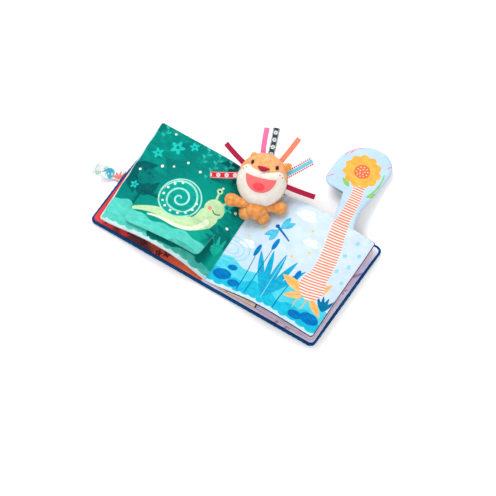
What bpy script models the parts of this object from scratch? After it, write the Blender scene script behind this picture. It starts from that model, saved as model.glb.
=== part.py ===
"""Crinkle cloth book for a baby, lying open at its middle spread, with a soft doll on its gutter.

The frame has its origin under the middle of the spine. X runs along the open book from the
front cover to the back cover, Y runs up the pages and Z points up. Lengths are in metres.
"""

import math

import bmesh
import bpy
from mathutils import Matrix, Vector

GAP = 0.0003

# Covers and spine
COVER_REACH = 0.200
COVER_HEIGHT = 0.195
COVER_SKEW = 0.0045
COVER_CORNER = 0.009
COVER_THICKNESS = 0.0074
SHELL_FLOOR = 0.0018
RIM_WIDTH = 0.0045
BOARD_THICKNESS = 0.0019
LINING_TOP = 0.0070
SPINE_HALF = 0.0127
SPINE_LINING_TOP = 0.0045
SPINE_RIM_TOP = 0.0070
SEAM_HEIGHT = 0.0110
SEAM_RADIUS = 0.0024
SEAM_WEB = 0.0010

# Leaves
PAGE_REACH = 0.190
PAGE_HEIGHT = 0.182
PAGE_CORNER = 0.008
PAGE_ROWS = 4
PAGE_INNER = SEAM_RADIUS + GAP
LEAF_THICKNESS = 0.0050
LEAF_EDGE_THICKNESS = 0.0017
LEAF_FILLS_OVER = 0.036
FILM_THICKNESS = 0.0004
FILM_INSET = 0.008
FILM_START = 0.019
STATIONS = (PAGE_INNER, 0.007, 0.012, 0.018, 0.024, 0.031, 0.038, 0.046, 0.056, 0.070, 0.087,
            0.105, 0.128, 0.150, 0.168, 0.182, 0.186, 0.1886, PAGE_REACH)

# Flap on the front leaf, hinged along its top edge
FLAP_LEFT = -0.154
FLAP_RIGHT = -0.0225
FLAP_DEPTH = 0.055
FLAP_HINGE_Y = -0.0245
FLAP_HINGE_Z = 0.0445
FLAP_LAYER = 0.0014
FLAP_CORNER = 0.009
FLAP_LIFT_LEFT = 0.0015
FLAP_LIFT_RIGHT = 0.020
FLAP_STEPS = 9
FLAP_ROWS = 4

# Panel that stands out from the top edge of the top leaf: a neck, and a head with a left lobe
NECK_LEFT = 0.120
NECK_NARROW_LEFT = 0.107
NECK_RIGHT = 0.154
NECK_NARROW_RIGHT = 0.1473
NECK_NARROW_Y = 0.126
LOBE_LEFT = 0.069
LOBE_BOTTOM_Y = 0.139
LOBE_CORNER = 0.016
HEAD_PANEL_TOP = 0.2325
HEAD_PANEL_RIGHT = 0.152
CROWN_LEFT_ARC = (0.117, 0.182)
CROWN_RIGHT_ARC = (0.125, 0.203)
NECK_HINGE_Z = 0.0370
NECK_BASE_Z = 0.0320
NECK_TIP_Z = 0.0105
NECK_FALLS_OVER = 0.110
NECK_THICKNESS = 0.0070
NECK_FILM_INSET = 0.007

# Tab on the edge of the front cover
TAB_LENGTH = 0.042
TAB_WIDTH = 0.0200
TAB_THICKNESS = 0.0026
TAB_ROOT_Y = -0.0075
TAB_ROOT_Z = 0.0020
TAB_SKEW = math.radians(22)
TAB_CURL = 0.016
TAB_HINGE_ROOM = 0.0012
TAB_STEPS = 8

# Doll
HEAD_CENTRE = Vector((-0.0034, 0.0819, 0.0505))
HEAD_TURN = math.radians(16)
HEAD_TILT = math.radians(20)
HEAD_SIZE = (0.039, 0.042, 0.026)
FACE_SEAM_Y = 0.0125
NOSE_Y = 0.0142
MOUTH_HALF_WIDTH = 0.0240
MOUTH_TOP_Y = 0.0045
MOUTH_DIP = 0.0035
MOUTH_DEPTH = 0.0260
TONGUE = (0.0, -0.0125, 0.0095, 0.0060)
EYE_PLACE = (0.0195, 0.0225)
EYE_SIZE = (0.0023, 0.0034)
SQUEAKER_RADIUS = 0.013
SQUEAKER_DEPTH = 0.0115
APPLIQUE = 0.0009
APPLIQUE_GAP = 0.0006
EAR_RADIUS = 0.0058
EAR_FLATTEN = 0.5
EAR_RISE = 0.0045
RIBBON_THICKNESS = 0.0012
RIBBON_START = 0.0380
RIBBON_SAG = 0.006
RIBBON_STEPS = 5
SEAM_ROOM = 0.0005
ARM_ROOM = 0.0025
TORSO = (((-0.0005, 0.0530, 0.0335), (0.0110, 0.0420, 0.0325)), (0.0150, 0.0165))
LEGS = {
    "left": (((0.0050, 0.0385, 0.0300), (-0.0020, 0.0305, 0.0285)), (0.0095, 0.0105)),
    "right": (((0.0185, 0.0425, 0.0300), (0.0245, 0.0375, 0.0285)), (0.0095, 0.0105)),
}
ARMS = {
    "left": (((-0.0100, 0.0400, 0.0375), (-0.0180, 0.0365, 0.0385), (-0.0292, 0.0324, 0.0400)),
             (0.0075, 0.0080, 0.0105)),
    "right": (((0.0245, 0.0545, 0.0330), (0.0310, 0.0575, 0.0335), (0.0407, 0.0615, 0.0345)),
              (0.0075, 0.0080, 0.0105)),
}

# Each mane ribbon: material, width, angles clockwise from the head's top at its root and its
# tip, and the tip's reach from the head's centre
RIBBONS = {
    "ribbon_red_left": ("ribbon_red", 0.0100, -92.3, -98.0, 0.081),
    "ribbon_crimson_left": ("ribbon_crimson", 0.0080, -61.6, -59.2, 0.080),
    "ribbon_pink": ("ribbon_pink", 0.0080, -13.4, -9.8, 0.081),
    "ribbon_navy": ("ribbon_navy", 0.0100, 5.2, 0.6, 0.083),
    "ribbon_coral": ("ribbon_coral", 0.0080, 31.5, 26.8, 0.085),
    "ribbon_striped": ("ribbon_striped", 0.0130, 64.7, 54.5, 0.082),
    "ribbon_crimson_right": ("ribbon_crimson", 0.0080, 90.4, 93.5, 0.084),
}

# Each ear: angle clockwise from the head's top, and reach of its root and of its tip's centre
EARS = {
    "doll_ear_left": (-32, 0.030, 0.0385),
    "doll_ear_right": (49, 0.030, 0.0450),
}


def material(name, colour, roughness):
    made = bpy.data.materials.new(name)
    made.use_nodes = True
    shader = made.node_tree.nodes["Principled BSDF"]
    shader.inputs["Base Color"].default_value = (*colour, 1.0)
    shader.inputs["Roughness"].default_value = roughness
    shader.inputs["Metallic"].default_value = 0.0
    return made


def pivot(name, place, parent=None):
    """An empty on a joint's axis, which carries the pieces of one moving body."""
    made = bpy.data.objects.new(name, None)
    bpy.context.scene.collection.objects.link(made)
    made["place"] = tuple(place)
    made.location = Vector(place) - (Vector(parent["place"]) if parent else Vector())
    made.parent = parent
    return made


def add_piece(name, bm, look, carrier=None, cutter=False, sharp=40):
    """Makes a piece whose origin is its carrier's, from a mesh given in the book's frame."""
    if carrier:
        bmesh.ops.translate(bm, verts=bm.verts, vec=-Vector(carrier["place"]))
    bmesh.ops.recalc_face_normals(bm, faces=bm.faces)
    mesh = bpy.data.meshes.new(name)
    bm.to_mesh(mesh)
    bm.free()
    mesh.materials.append(look)
    mesh.shade_smooth()
    mesh.set_sharp_from_angle(angle=math.radians(sharp))
    piece = bpy.data.objects.new(name, mesh)
    bpy.context.scene.collection.objects.link(piece)
    piece.parent = carrier
    if cutter:
        piece.hide_render = True
        piece.display_type = "WIRE"
    return piece


def cut(piece, *cutters):
    """Takes the cutters' shapes out of a piece."""
    for cutter in cutters:
        boolean = piece.modifiers.new("Cut", "BOOLEAN")
        boolean.operation = "DIFFERENCE"
        boolean.solver = "EXACT"
        boolean.object = cutter


def blend(low, high, share):
    return low + (high - low) * share


def smooth_step(value):
    value = min(max(value, 0.0), 1.0)
    return value * value * (3 - 2 * value)


def round_in(distance, radius):
    """How far an outline has turned in at a distance before the end of a round corner."""
    turn = 1 - min(max(distance / radius, 0.0), 1.0)
    return radius * (1 - math.sqrt(1 - turn * turn))


def closed_grid(columns, rows, top, bottom):
    """A solid between two surfaces, both given as functions of a column and a row number."""
    bm = bmesh.new()
    upper = [[bm.verts.new(top(i, j)) for j in range(rows + 1)] for i in range(columns + 1)]
    lower = [[bm.verts.new(bottom(i, j)) for j in range(rows + 1)] for i in range(columns + 1)]

    def quad(a, b, c, d):
        bm.faces.new((a, b, c))
        bm.faces.new((a, c, d))

    for i in range(columns):
        for j in range(rows):
            for sheet in (upper, lower):
                quad(sheet[i][j], sheet[i + 1][j], sheet[i + 1][j + 1], sheet[i][j + 1])
        for j in (0, rows):
            quad(lower[i][j], lower[i + 1][j], upper[i + 1][j], upper[i][j])
    for j in range(rows):
        for i in (0, columns):
            quad(lower[i][j], lower[i][j + 1], upper[i][j + 1], upper[i][j])
    return bm


def prism(outline, low, high):
    """A straight solid over a closed outline of (x, y) points."""
    bm = bmesh.new()
    face = bm.faces.new([bm.verts.new((x, y, low)) for x, y in outline])
    raised = bmesh.ops.extrude_face_region(bm, geom=[face])["geom"]
    verts = [v for v in raised if isinstance(v, bmesh.types.BMVert)]
    bmesh.ops.translate(bm, verts=verts, vec=(0, 0, high - low))
    bmesh.ops.triangulate(bm, faces=bm.faces)
    return bm


def cover_outline(side, inner, outer, half_height, corner, steps=6):
    """A cover's outline: square at the spine, with round outer corners and a skewed outer edge."""
    points = [(side * inner, -half_height)]
    for sign in (-1, 1):
        for i in range(steps + 1):
            turn = math.radians(90) * (i / steps if sign < 0 else 1 - i / steps)
            x = outer - corner + corner * math.sin(turn)
            y = sign * (half_height - corner + corner * math.cos(turn))
            points.append((side * x + COVER_SKEW * y / half_height, y))
    points.append((side * inner, half_height))
    return points


def add_cover(name, side, shell_look, board_look, lining_look, carrier):
    """A cover: a shell with a raised binding, a soft board in it and a lining."""
    inner = SPINE_HALF + GAP
    half = COVER_HEIGHT / 2

    def inset(edge, start=inner):
        return cover_outline(side, start, COVER_REACH - edge, half - edge, COVER_CORNER - edge)

    shell = add_piece(name + "_shell", prism(inset(0), 0, COVER_THICKNESS), shell_look, carrier)
    room = prism(inset(RIM_WIDTH, inner - RIM_WIDTH), SHELL_FLOOR, 2 * COVER_THICKNESS)
    cut(shell, add_piece(name + "_room", room, shell_look, carrier, cutter=True))
    board_low = SHELL_FLOOR + GAP
    board_high = board_low + BOARD_THICKNESS
    board = prism(inset(RIM_WIDTH + GAP), board_low, board_high)
    lining = prism(inset(RIM_WIDTH + GAP), board_high + GAP, LINING_TOP)
    add_piece(name + "_board", board, board_look, carrier)
    add_piece(name + "_lining", lining, lining_look, carrier)


def add_spine(look, lining_look, seam_look):
    half = COVER_HEIGHT / 2

    def strip(width, reach, low, high):
        corners = ((-width, -reach), (width, -reach), (width, reach), (-width, reach))
        return prism(corners, low, high)

    shell = add_piece("spine_shell", strip(SPINE_HALF, half, 0, SPINE_RIM_TOP), look)
    room = strip(2 * SPINE_HALF, half - RIM_WIDTH, SHELL_FLOOR, 2 * COVER_THICKNESS)
    cut(shell, add_piece("spine_room", room, look, cutter=True))
    lining = strip(SPINE_HALF, half - RIM_WIDTH - GAP, SHELL_FLOOR + GAP, SPINE_LINING_TOP)
    add_piece("spine_lining", lining, lining_look)

    # The gutter seam is a sewn bead on a web, and the leaves turn about the bead.
    foot = math.asin(SEAM_WEB / SEAM_RADIUS)
    outline = [(-SEAM_WEB, SPINE_LINING_TOP + GAP), (SEAM_WEB, SPINE_LINING_TOP + GAP)]
    for i in range(13):
        turn = blend(-math.pi / 2 + foot, 3 * math.pi / 2 - foot, i / 12)
        outline.append((SEAM_RADIUS * math.cos(turn), SEAM_HEIGHT + SEAM_RADIUS * math.sin(turn)))
    bm = prism(outline, -PAGE_HEIGHT / 2, PAGE_HEIGHT / 2)
    bmesh.ops.transform(bm, matrix=Matrix.Rotation(math.pi / 2, 4, "X"), verts=bm.verts)
    add_piece("gutter_seam", bm, seam_look)


def leaf_thickness(reach):
    """A leaf is sewn flat at the gutter and is full a little further out."""
    share = smooth_step((reach - PAGE_INNER) / LEAF_FILLS_OVER)
    return blend(LEAF_EDGE_THICKNESS, LEAF_THICKNESS, share)


def leaf_core(reach):
    """Room between a leaf's two cloths, which widens where the crinkle film lies."""
    return blend(GAP, FILM_THICKNESS + 2 * GAP, smooth_step((reach - 0.012) / 0.006))


def front_leaf_height(reach, share):
    """Middle height of the front leaf, which arches up and droops at its lower outer corner."""
    rise = math.sin(math.pi / 2 * min((reach - PAGE_INNER) / 0.072, 1.0))
    arch = blend(SEAM_HEIGHT, blend(0.0395, 0.0340, share), rise)
    return arch - blend(0.0210, 0.0020, share) * smooth_step((reach - 0.095) / 0.095)


def top_leaf_height(reach, share):
    """Middle height of the top leaf, with a soft swell across its middle."""
    rise = blend(0.01215, 0.0310, smooth_step((reach - PAGE_INNER) / 0.080))
    swell = 0.0050 * math.exp(-(((reach - 0.112) / 0.038) ** 2))
    return rise + swell - 0.0035 * smooth_step((reach - 0.150) / 0.040)


def middle_leaf_height(reach, share):
    rise = blend(0.00965, 0.0150, smooth_step((reach - PAGE_INNER) / 0.086))
    return rise - 0.0025 * smooth_step((reach - 0.120) / 0.070)


def leaf_layer(side, height, low, high, inset=0.0):
    """One layer of a leaf. low and high give its faces above the middle, at a reach."""
    first = FILM_START if inset else 0.0
    reaches = [r for r in STATIONS if first <= r <= PAGE_REACH - inset]
    half = PAGE_HEIGHT / 2 - inset

    def place(i, j, offset):
        reach = reaches[i]
        pull = 0.0 if inset else round_in(PAGE_REACH - reach, PAGE_CORNER)
        y = blend(pull - half, half - pull, j / PAGE_ROWS)
        share = y / PAGE_HEIGHT + 0.5
        return side * reach, y, height(reach, share) + offset(reach)

    return closed_grid(
        len(reaches) - 1,
        PAGE_ROWS,
        lambda i, j: place(i, j, high),
        lambda i, j: place(i, j, low),
    )


def add_leaf(name, side, height, face_look, back_look, film_look, carrier):
    """A leaf: an upper cloth, a sheet of crinkle film and a lower cloth."""

    def full(reach):
        return leaf_thickness(reach) / 2

    def core(reach):
        return leaf_core(reach) / 2

    def film(reach):
        return FILM_THICKNESS / 2

    upper = leaf_layer(side, height, core, full)
    lower = leaf_layer(side, height, lambda r: -full(r), lambda r: -core(r))
    sheet = leaf_layer(side, height, lambda r: -film(r), film, FILM_INSET)
    add_piece(name + "_upper_cloth", upper, face_look, carrier)
    add_piece(name + "_lower_cloth", lower, back_look, carrier)
    add_piece(name + "_crinkle_film", sheet, film_look, carrier)


def flap_stations(inset):
    """The x of each column of the flap: close at its round corners, wide between them."""
    near = [FLAP_CORNER * share for share in (0, 0.12, 0.45, 1)]
    width = FLAP_RIGHT - FLAP_LEFT
    middle = [blend(FLAP_CORNER, width - FLAP_CORNER, i / FLAP_STEPS) for i in range(1, FLAP_STEPS)]
    offsets = near + middle + [width - offset for offset in reversed(near)]
    return [FLAP_LEFT + offset for offset in offsets if inset <= offset <= width - inset]


def add_flap(face_look, back_look, film_look, carrier):
    """Flap that lies on the front leaf, its right corner lifted."""
    thickness = 2 * FLAP_LAYER + FILM_THICKNESS + 2 * GAP
    hinge_share = FLAP_HINGE_Y / PAGE_HEIGHT + 0.5

    def layer(low, high, inset=0.0):
        stations = flap_stations(inset)

        def place(i, j, offset):
            x = stations[i]
            pull = 0.0 if inset else round_in(min(x - FLAP_LEFT, FLAP_RIGHT - x), FLAP_CORNER)
            out = blend(inset, FLAP_DEPTH - max(inset, pull), j / FLAP_ROWS)
            along = (x - FLAP_LEFT) / (FLAP_RIGHT - FLAP_LEFT)
            lift = blend(FLAP_LIFT_LEFT, FLAP_LIFT_RIGHT, along**1.5)
            angle = math.asin(lift / FLAP_DEPTH)
            page = front_leaf_height(-x, hinge_share) + leaf_thickness(-x) / 2
            y = FLAP_HINGE_Y - out * math.cos(angle)
            return x, y, page + 2 * GAP + out * math.sin(angle) + offset

        return closed_grid(
            len(stations) - 1,
            FLAP_ROWS,
            lambda i, j: place(i, j, high),
            lambda i, j: place(i, j, low),
        )

    core = FLAP_LAYER + GAP
    film = layer(core, core + FILM_THICKNESS, FLAP_CORNER)
    add_piece("flap_lower_cloth", layer(0, FLAP_LAYER), back_look, carrier)
    add_piece("flap_crinkle_film", film, film_look, carrier)
    add_piece("flap_upper_cloth", layer(thickness - FLAP_LAYER, thickness), face_look, carrier)


def neck_edges(y):
    """The neck panel's left and right edges at a height up the page."""
    base = PAGE_HEIGHT / 2
    if y < LOBE_BOTTOM_Y:
        left = blend(NECK_LEFT, NECK_NARROW_LEFT, (y - base) / (LOBE_BOTTOM_Y - base))
    elif y < CROWN_LEFT_ARC[1]:
        left = LOBE_LEFT + round_in(y - LOBE_BOTTOM_Y, LOBE_CORNER)
    else:
        centre_x, centre_y = CROWN_LEFT_ARC
        away = min((y - centre_y) / (HEAD_PANEL_TOP - centre_y), 1.0)
        left = centre_x - (centre_x - LOBE_LEFT) * math.sqrt(1 - away * away)
    if y < NECK_NARROW_Y:
        flare = (NECK_NARROW_Y - y) / (NECK_NARROW_Y - base)
        right = blend(NECK_NARROW_RIGHT, NECK_RIGHT, flare * flare)
    elif y < CROWN_RIGHT_ARC[1]:
        share = (y - NECK_NARROW_Y) / (CROWN_RIGHT_ARC[1] - NECK_NARROW_Y)
        right = blend(NECK_NARROW_RIGHT, HEAD_PANEL_RIGHT, share)
    else:
        centre_x, centre_y = CROWN_RIGHT_ARC
        away = min((y - centre_y) / (HEAD_PANEL_TOP - centre_y), 1.0)
        right = centre_x + (HEAD_PANEL_RIGHT - centre_x) * math.sqrt(1 - away * away)
    return left, right


def neck_rows():
    """The y of each row of the neck panel, close together where its outline turns."""
    base = PAGE_HEIGHT / 2 + 4 * GAP
    rows = [base, 0.098, 0.107, 0.117, 0.128, LOBE_BOTTOM_Y - 2 * GAP]
    for i in range(5):
        rows.append(LOBE_BOTTOM_Y + LOBE_CORNER * (1 - math.cos(math.radians(22.5 * i))))
    rows += [0.160, 0.173, CROWN_LEFT_ARC[1], 0.197]
    arc_y = CROWN_RIGHT_ARC[1]
    for i in range(6):
        rows.append(arc_y + (HEAD_PANEL_TOP - arc_y) * math.sin(math.radians(16.5 * i)))
    return rows


def add_neck_panel(face_look, back_look, film_look, carrier):
    """Padded panel sewn to the top leaf's top edge, falling to near what the book lies on."""
    base = neck_rows()[0]
    tip = neck_rows()[-1]
    columns = 4

    def layer(low, high, inset=0.0):
        rows = [y for y in neck_rows() if base + inset <= y <= tip - 2 * inset or not inset]

        def place(i, j, offset):
            y = rows[j]
            nearby = [neck_edges(y + step) for step in (-inset, 0, inset)]
            left = max(edge[0] for edge in nearby) + inset
            right = min(edge[1] for edge in nearby) - inset
            z = blend(NECK_BASE_Z, NECK_TIP_Z, smooth_step((y - base) / NECK_FALLS_OVER))
            return blend(left, right, i / columns), y, z + offset

        return closed_grid(
            columns,
            len(rows) - 1,
            lambda i, j: place(i, j, high),
            lambda i, j: place(i, j, low),
        )

    half = NECK_THICKNESS / 2
    film = FILM_THICKNESS / 2
    add_piece("neck_panel_upper_cloth", layer(film + GAP, half), face_look, carrier)
    add_piece("neck_panel_lower_cloth", layer(-half, -film - GAP), back_look, carrier)
    add_piece(
        "neck_panel_crinkle_film", layer(-film, film, NECK_FILM_INSET), film_look, carrier
    )


def add_tab(look, carrier):
    """Folded tape tab sewn into the front cover's edge, its end curling up."""

    def place(i, j, offset):
        share = i / TAB_STEPS
        out = TAB_LENGTH * share
        across = (j - 0.5) * TAB_WIDTH
        bend = TAB_SKEW * smooth_step(share * 2)
        edge = COVER_SKEW * (TAB_ROOT_Y + across) / (COVER_HEIGHT / 2) - COVER_REACH
        x = edge - GAP - out * math.cos(bend) - 0.3 * across * bend
        y = TAB_ROOT_Y - out * math.sin(bend) + across
        return x, y, TAB_ROOT_Z + TAB_CURL * share**2 + offset

    bm = closed_grid(
        TAB_STEPS, 1, lambda i, j: place(i, j, TAB_THICKNESS), lambda i, j: place(i, j, 0)
    )
    add_piece("edge_tab", bm, look, carrier)


def ellipsoid(size, grow=0.0, segments=24, rings=14):
    bm = bmesh.new()
    bmesh.ops.create_uvsphere(bm, u_segments=segments, v_segments=rings, radius=1.0)
    bmesh.ops.scale(bm, vec=[s + grow for s in size], verts=bm.verts)
    return bm


def halved(bm, point, normal):
    """Keeps the part of a solid behind a plane and closes it there."""
    geom = bm.verts[:] + bm.edges[:] + bm.faces[:]
    done = bmesh.ops.bisect_plane(
        bm, geom=geom, plane_co=point, plane_no=normal, clear_outer=True, dist=1e-7
    )
    rim = [e for e in done["geom_cut"] if isinstance(e, bmesh.types.BMEdge)]
    filled = bmesh.ops.edgenet_fill(bm, edges=rim)
    bmesh.ops.triangulate(bm, faces=filled["faces"])
    return bm


def limb(points, radii, flatten=0.85, grow=0.0, sides=14, caps=4):
    """Stuffed limb: a round tube through points, with its own radius at each, ends rounded."""
    bm = bmesh.new()
    points = [Vector(p) for p in points]
    first = (points[1] - points[0]).normalized()
    last = (points[-1] - points[-2]).normalized()
    stops = []
    for k in range(caps):
        turn = math.pi / 2 * k / caps
        reach = radii[0] + grow
        stops.append((points[0] - first * reach * math.cos(turn), reach * math.sin(turn), first))
    for n in range(len(points) - 1):
        way = (points[n + 1] - points[n]).normalized()
        for k in range(3):
            radius = blend(radii[n], radii[n + 1], smooth_step(k / 3)) + grow
            stops.append((points[n].lerp(points[n + 1], k / 3), radius, way))
    for k in range(caps + 1):
        turn = math.pi / 2 * k / caps
        reach = radii[-1] + grow
        stops.append((points[-1] + last * reach * math.sin(turn), reach * math.cos(turn), last))
    rings = []
    for centre, radius, way in stops:
        if radius < 1e-6:
            rings.append([bm.verts.new(centre)])
            continue
        across = Vector((0, 0, 1)).cross(way).normalized()
        up = way.cross(across) * flatten
        ring = []
        for s in range(sides):
            turn = 2 * math.pi * s / sides
            ring.append(bm.verts.new(
                centre + (across * math.cos(turn) + up * math.sin(turn)) * radius
            ))
        rings.append(ring)
    for lower, upper in zip(rings, rings[1:]):
        for s in range(sides):
            t = (s + 1) % sides
            if len(lower) == 1:
                bm.faces.new((lower[0], upper[s], upper[t]))
            elif len(upper) == 1:
                bm.faces.new((lower[s], lower[t], upper[0]))
            else:
                bm.faces.new((lower[s], lower[t], upper[t], upper[s]))
    bmesh.ops.triangulate(bm, faces=bm.faces)
    return bm


def head_frame():
    turn = Matrix.Rotation(HEAD_TURN, 4, "Z") @ Matrix.Rotation(HEAD_TILT, 4, "X")
    return Matrix.Translation(HEAD_CENTRE) @ turn


def face_patch(outline, rings=3, layer=0):
    """Applique cloth on the face: a closed patch that follows the head's front."""
    bm = bmesh.new()
    count = len(outline)
    centre_x = sum(x for x, y in outline) / count
    centre_y = sum(y for x, y in outline) / count

    def on_face(x, y, lift):
        a, b, c = HEAD_SIZE
        return x, y, c * math.sqrt(max(1 - (x / a) ** 2 - (y / b) ** 2, 0.0)) + lift

    sheets = []
    for offset in (0, APPLIQUE):
        lift = APPLIQUE_GAP + layer * (APPLIQUE + GAP) + offset
        sheet = [[bm.verts.new(on_face(centre_x, centre_y, lift))]]
        for ring in range(1, rings + 1):
            share = ring / rings
            sheet.append([
                bm.verts.new(
                    on_face(blend(centre_x, x, share), blend(centre_y, y, share), lift)
                )
                for x, y in outline
            ])
        sheets.append(sheet)
    for s in range(count):
        t = (s + 1) % count
        for sheet in sheets:
            bm.faces.new((sheet[0][0], sheet[1][s], sheet[1][t]))
            for lower, upper in zip(sheet[1:], sheet[2:]):
                bm.faces.new((lower[s], upper[s], upper[t]))
                bm.faces.new((lower[s], upper[t], lower[t]))
        under, over = sheets[0][-1], sheets[1][-1]
        bm.faces.new((under[s], under[t], over[t]))
        bm.faces.new((under[s], over[t], over[s]))
    return bm


def oval(centre_x, centre_y, half_width, half_height, count=14):
    turns = [2 * math.pi * k / count for k in range(count)]
    return [
        (centre_x + half_width * math.cos(turn), centre_y + half_height * math.sin(turn))
        for turn in turns
    ]


def smile_outline(half_width, top_y, dip, depth, count=12):
    """Open smile: a shallow curve above and a deep one below."""
    turns = [math.pi * k / count for k in range(count + 1)]
    upper = [(half_width * math.cos(t), top_y - dip * math.sin(t)) for t in turns]
    lower = [(-half_width * math.cos(t), top_y - depth * math.sin(t)) for t in turns[1:-1]]
    return upper + lower


def nose_outline():
    """Soft triangle with its long side up."""
    right = [(0.0100, 0.0046), (0.0080, 0.0016), (0.0040, -0.0020)]
    left = [(-x, y) for x, y in reversed(right)]
    outline = [(0.0, 0.0054)] + right + [(0.0, -0.0034)] + left
    return [(x, NOSE_Y + y) for x, y in outline]


def add_head(looks, carrier):
    """The doll's head: two cloth halves round a squeaker, with the face's pieces and the ears."""
    frame = head_frame()

    def add(name, bm, look, cutter=False):
        bmesh.ops.transform(bm, matrix=frame, verts=bm.verts)
        return add_piece(name, bm, looks[look], carrier, cutter)

    def disc(radius_low, radius_high, depth, middle):
        bm = bmesh.new()
        bmesh.ops.create_cone(
            bm, cap_ends=True, segments=20, radius1=radius_low, radius2=radius_high, depth=depth
        )
        bmesh.ops.translate(bm, verts=bm.verts, vec=(0, 0, middle))
        bmesh.ops.triangulate(bm, faces=bm.faces)
        return bm

    half = GAP / 2
    back = add("doll_head_back", halved(ellipsoid(HEAD_SIZE), (0, 0, -half), (0, 0, 1)), "plush")
    pocket = disc(SQUEAKER_RADIUS + GAP, SQUEAKER_RADIUS + GAP, 2 * SQUEAKER_DEPTH + 4 * GAP, 0)
    cut(back, add("doll_squeaker_pocket", pocket, "plush", cutter=True))
    squeaker = disc(
        0.92 * SQUEAKER_RADIUS, SQUEAKER_RADIUS, SQUEAKER_DEPTH - GAP, -SQUEAKER_DEPTH / 2 - GAP
    )
    add("doll_squeaker", squeaker, "plastic")

    front = halved(ellipsoid(HEAD_SIZE), (0, 0, half), (0, 0, -1))
    crown = halved(front.copy(), (0, FACE_SEAM_Y + half, 0), (0, -1, 0))
    muzzle = halved(front, (0, FACE_SEAM_Y - half, 0), (0, 1, 0))
    add("doll_crown", crown, "plush")
    add("doll_muzzle", muzzle, "fleece")
    add("doll_nose", face_patch(nose_outline()), "crimson")
    mouth = smile_outline(MOUTH_HALF_WIDTH, MOUTH_TOP_Y, MOUTH_DIP, MOUTH_DEPTH)
    add("doll_mouth", face_patch(mouth), "coral")
    add("doll_tongue", face_patch(oval(*TONGUE), 2, layer=1), "tongue")
    for side, name in ((-1, "left"), (1, "right")):
        eye = face_patch(oval(side * EYE_PLACE[0], EYE_PLACE[1], *EYE_SIZE, 10), 2)
        add("doll_eye_" + name, eye, "thread")

    skull = add("doll_skull_room", ellipsoid(HEAD_SIZE, SEAM_ROOM), "plush", cutter=True)
    for name, (angle, inner, outer) in EARS.items():
        way = Vector((math.sin(math.radians(angle)), math.cos(math.radians(angle)), 0))
        ends = [way * reach + Vector((0, 0, EAR_RISE)) for reach in (inner, outer)]
        ear = add(name, limb(ends, (EAR_RADIUS, EAR_RADIUS), EAR_FLATTEN), "plush")
        cut(ear, skull)
    wide_skull = ellipsoid(HEAD_SIZE, ARM_ROOM)
    return skull, add("doll_skull_wide_room", wide_skull, "plush", cutter=True)


def add_ribbons(looks, skull, carrier):
    """Folded tape loops sewn round the head, for a mane."""
    for name, (look, width, root_angle, tip_angle, reach) in RIBBONS.items():
        ends = []
        for angle, out in ((root_angle, RIBBON_START), (tip_angle, reach)):
            turn = math.radians(90 - angle)
            ends.append(Vector((out * math.cos(turn), out * math.sin(turn), 0)))
        way = (ends[1] - ends[0]).normalized()
        across = Vector((-way.y, way.x, 0)) * width

        def place(i, j, offset):
            share = i / RIBBON_STEPS
            spot = ends[0].lerp(ends[1], share) + across * (j - 0.5)
            return spot + Vector((0, 0, offset - RIBBON_SAG * share**2))

        half = RIBBON_THICKNESS / 2
        bm = closed_grid(
            RIBBON_STEPS, 1, lambda i, j: place(i, j, half), lambda i, j: place(i, j, -half)
        )
        bmesh.ops.transform(bm, matrix=head_frame(), verts=bm.verts)
        cut(add_piece(name, bm, looks[look], carrier), skull)


def add_body(looks, skull, wide_skull, carrier, arm_carriers):
    """Torso, legs and arms, each cut back where a larger piece meets it."""
    plush = looks["plush"]
    torso = add_piece("doll_torso", limb(*TORSO), plush, carrier)
    cut(torso, skull)

    def room(name, points, radii, grow):
        bm = limb(points, radii, grow=grow)
        return add_piece(name, bm, plush, carrier, cutter=True)

    torso_room = room("doll_torso_room", *TORSO, SEAM_ROOM)
    wide_torso = room("doll_torso_wide_room", *TORSO, ARM_ROOM)
    left_leg_room = room("doll_leg_left_room", *LEGS["left"], SEAM_ROOM)
    wide_leg_room = room("doll_leg_left_wide_room", *LEGS["left"], ARM_ROOM)
    for name, (points, radii) in LEGS.items():
        leg = add_piece("doll_leg_" + name, limb(points, radii), plush, carrier)
        cut(leg, torso_room, skull)
        if name == "right":
            cut(leg, left_leg_room)
    for name, (points, radii) in ARMS.items():
        arm = add_piece("doll_arm_" + name, limb(points, radii), plush, arm_carriers[name])
        cut(arm, wide_torso, wide_skull)
        if name == "left":
            cut(arm, wide_leg_room)


for old in list(bpy.data.objects):
    bpy.data.objects.remove(old, do_unlink=True)

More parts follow.
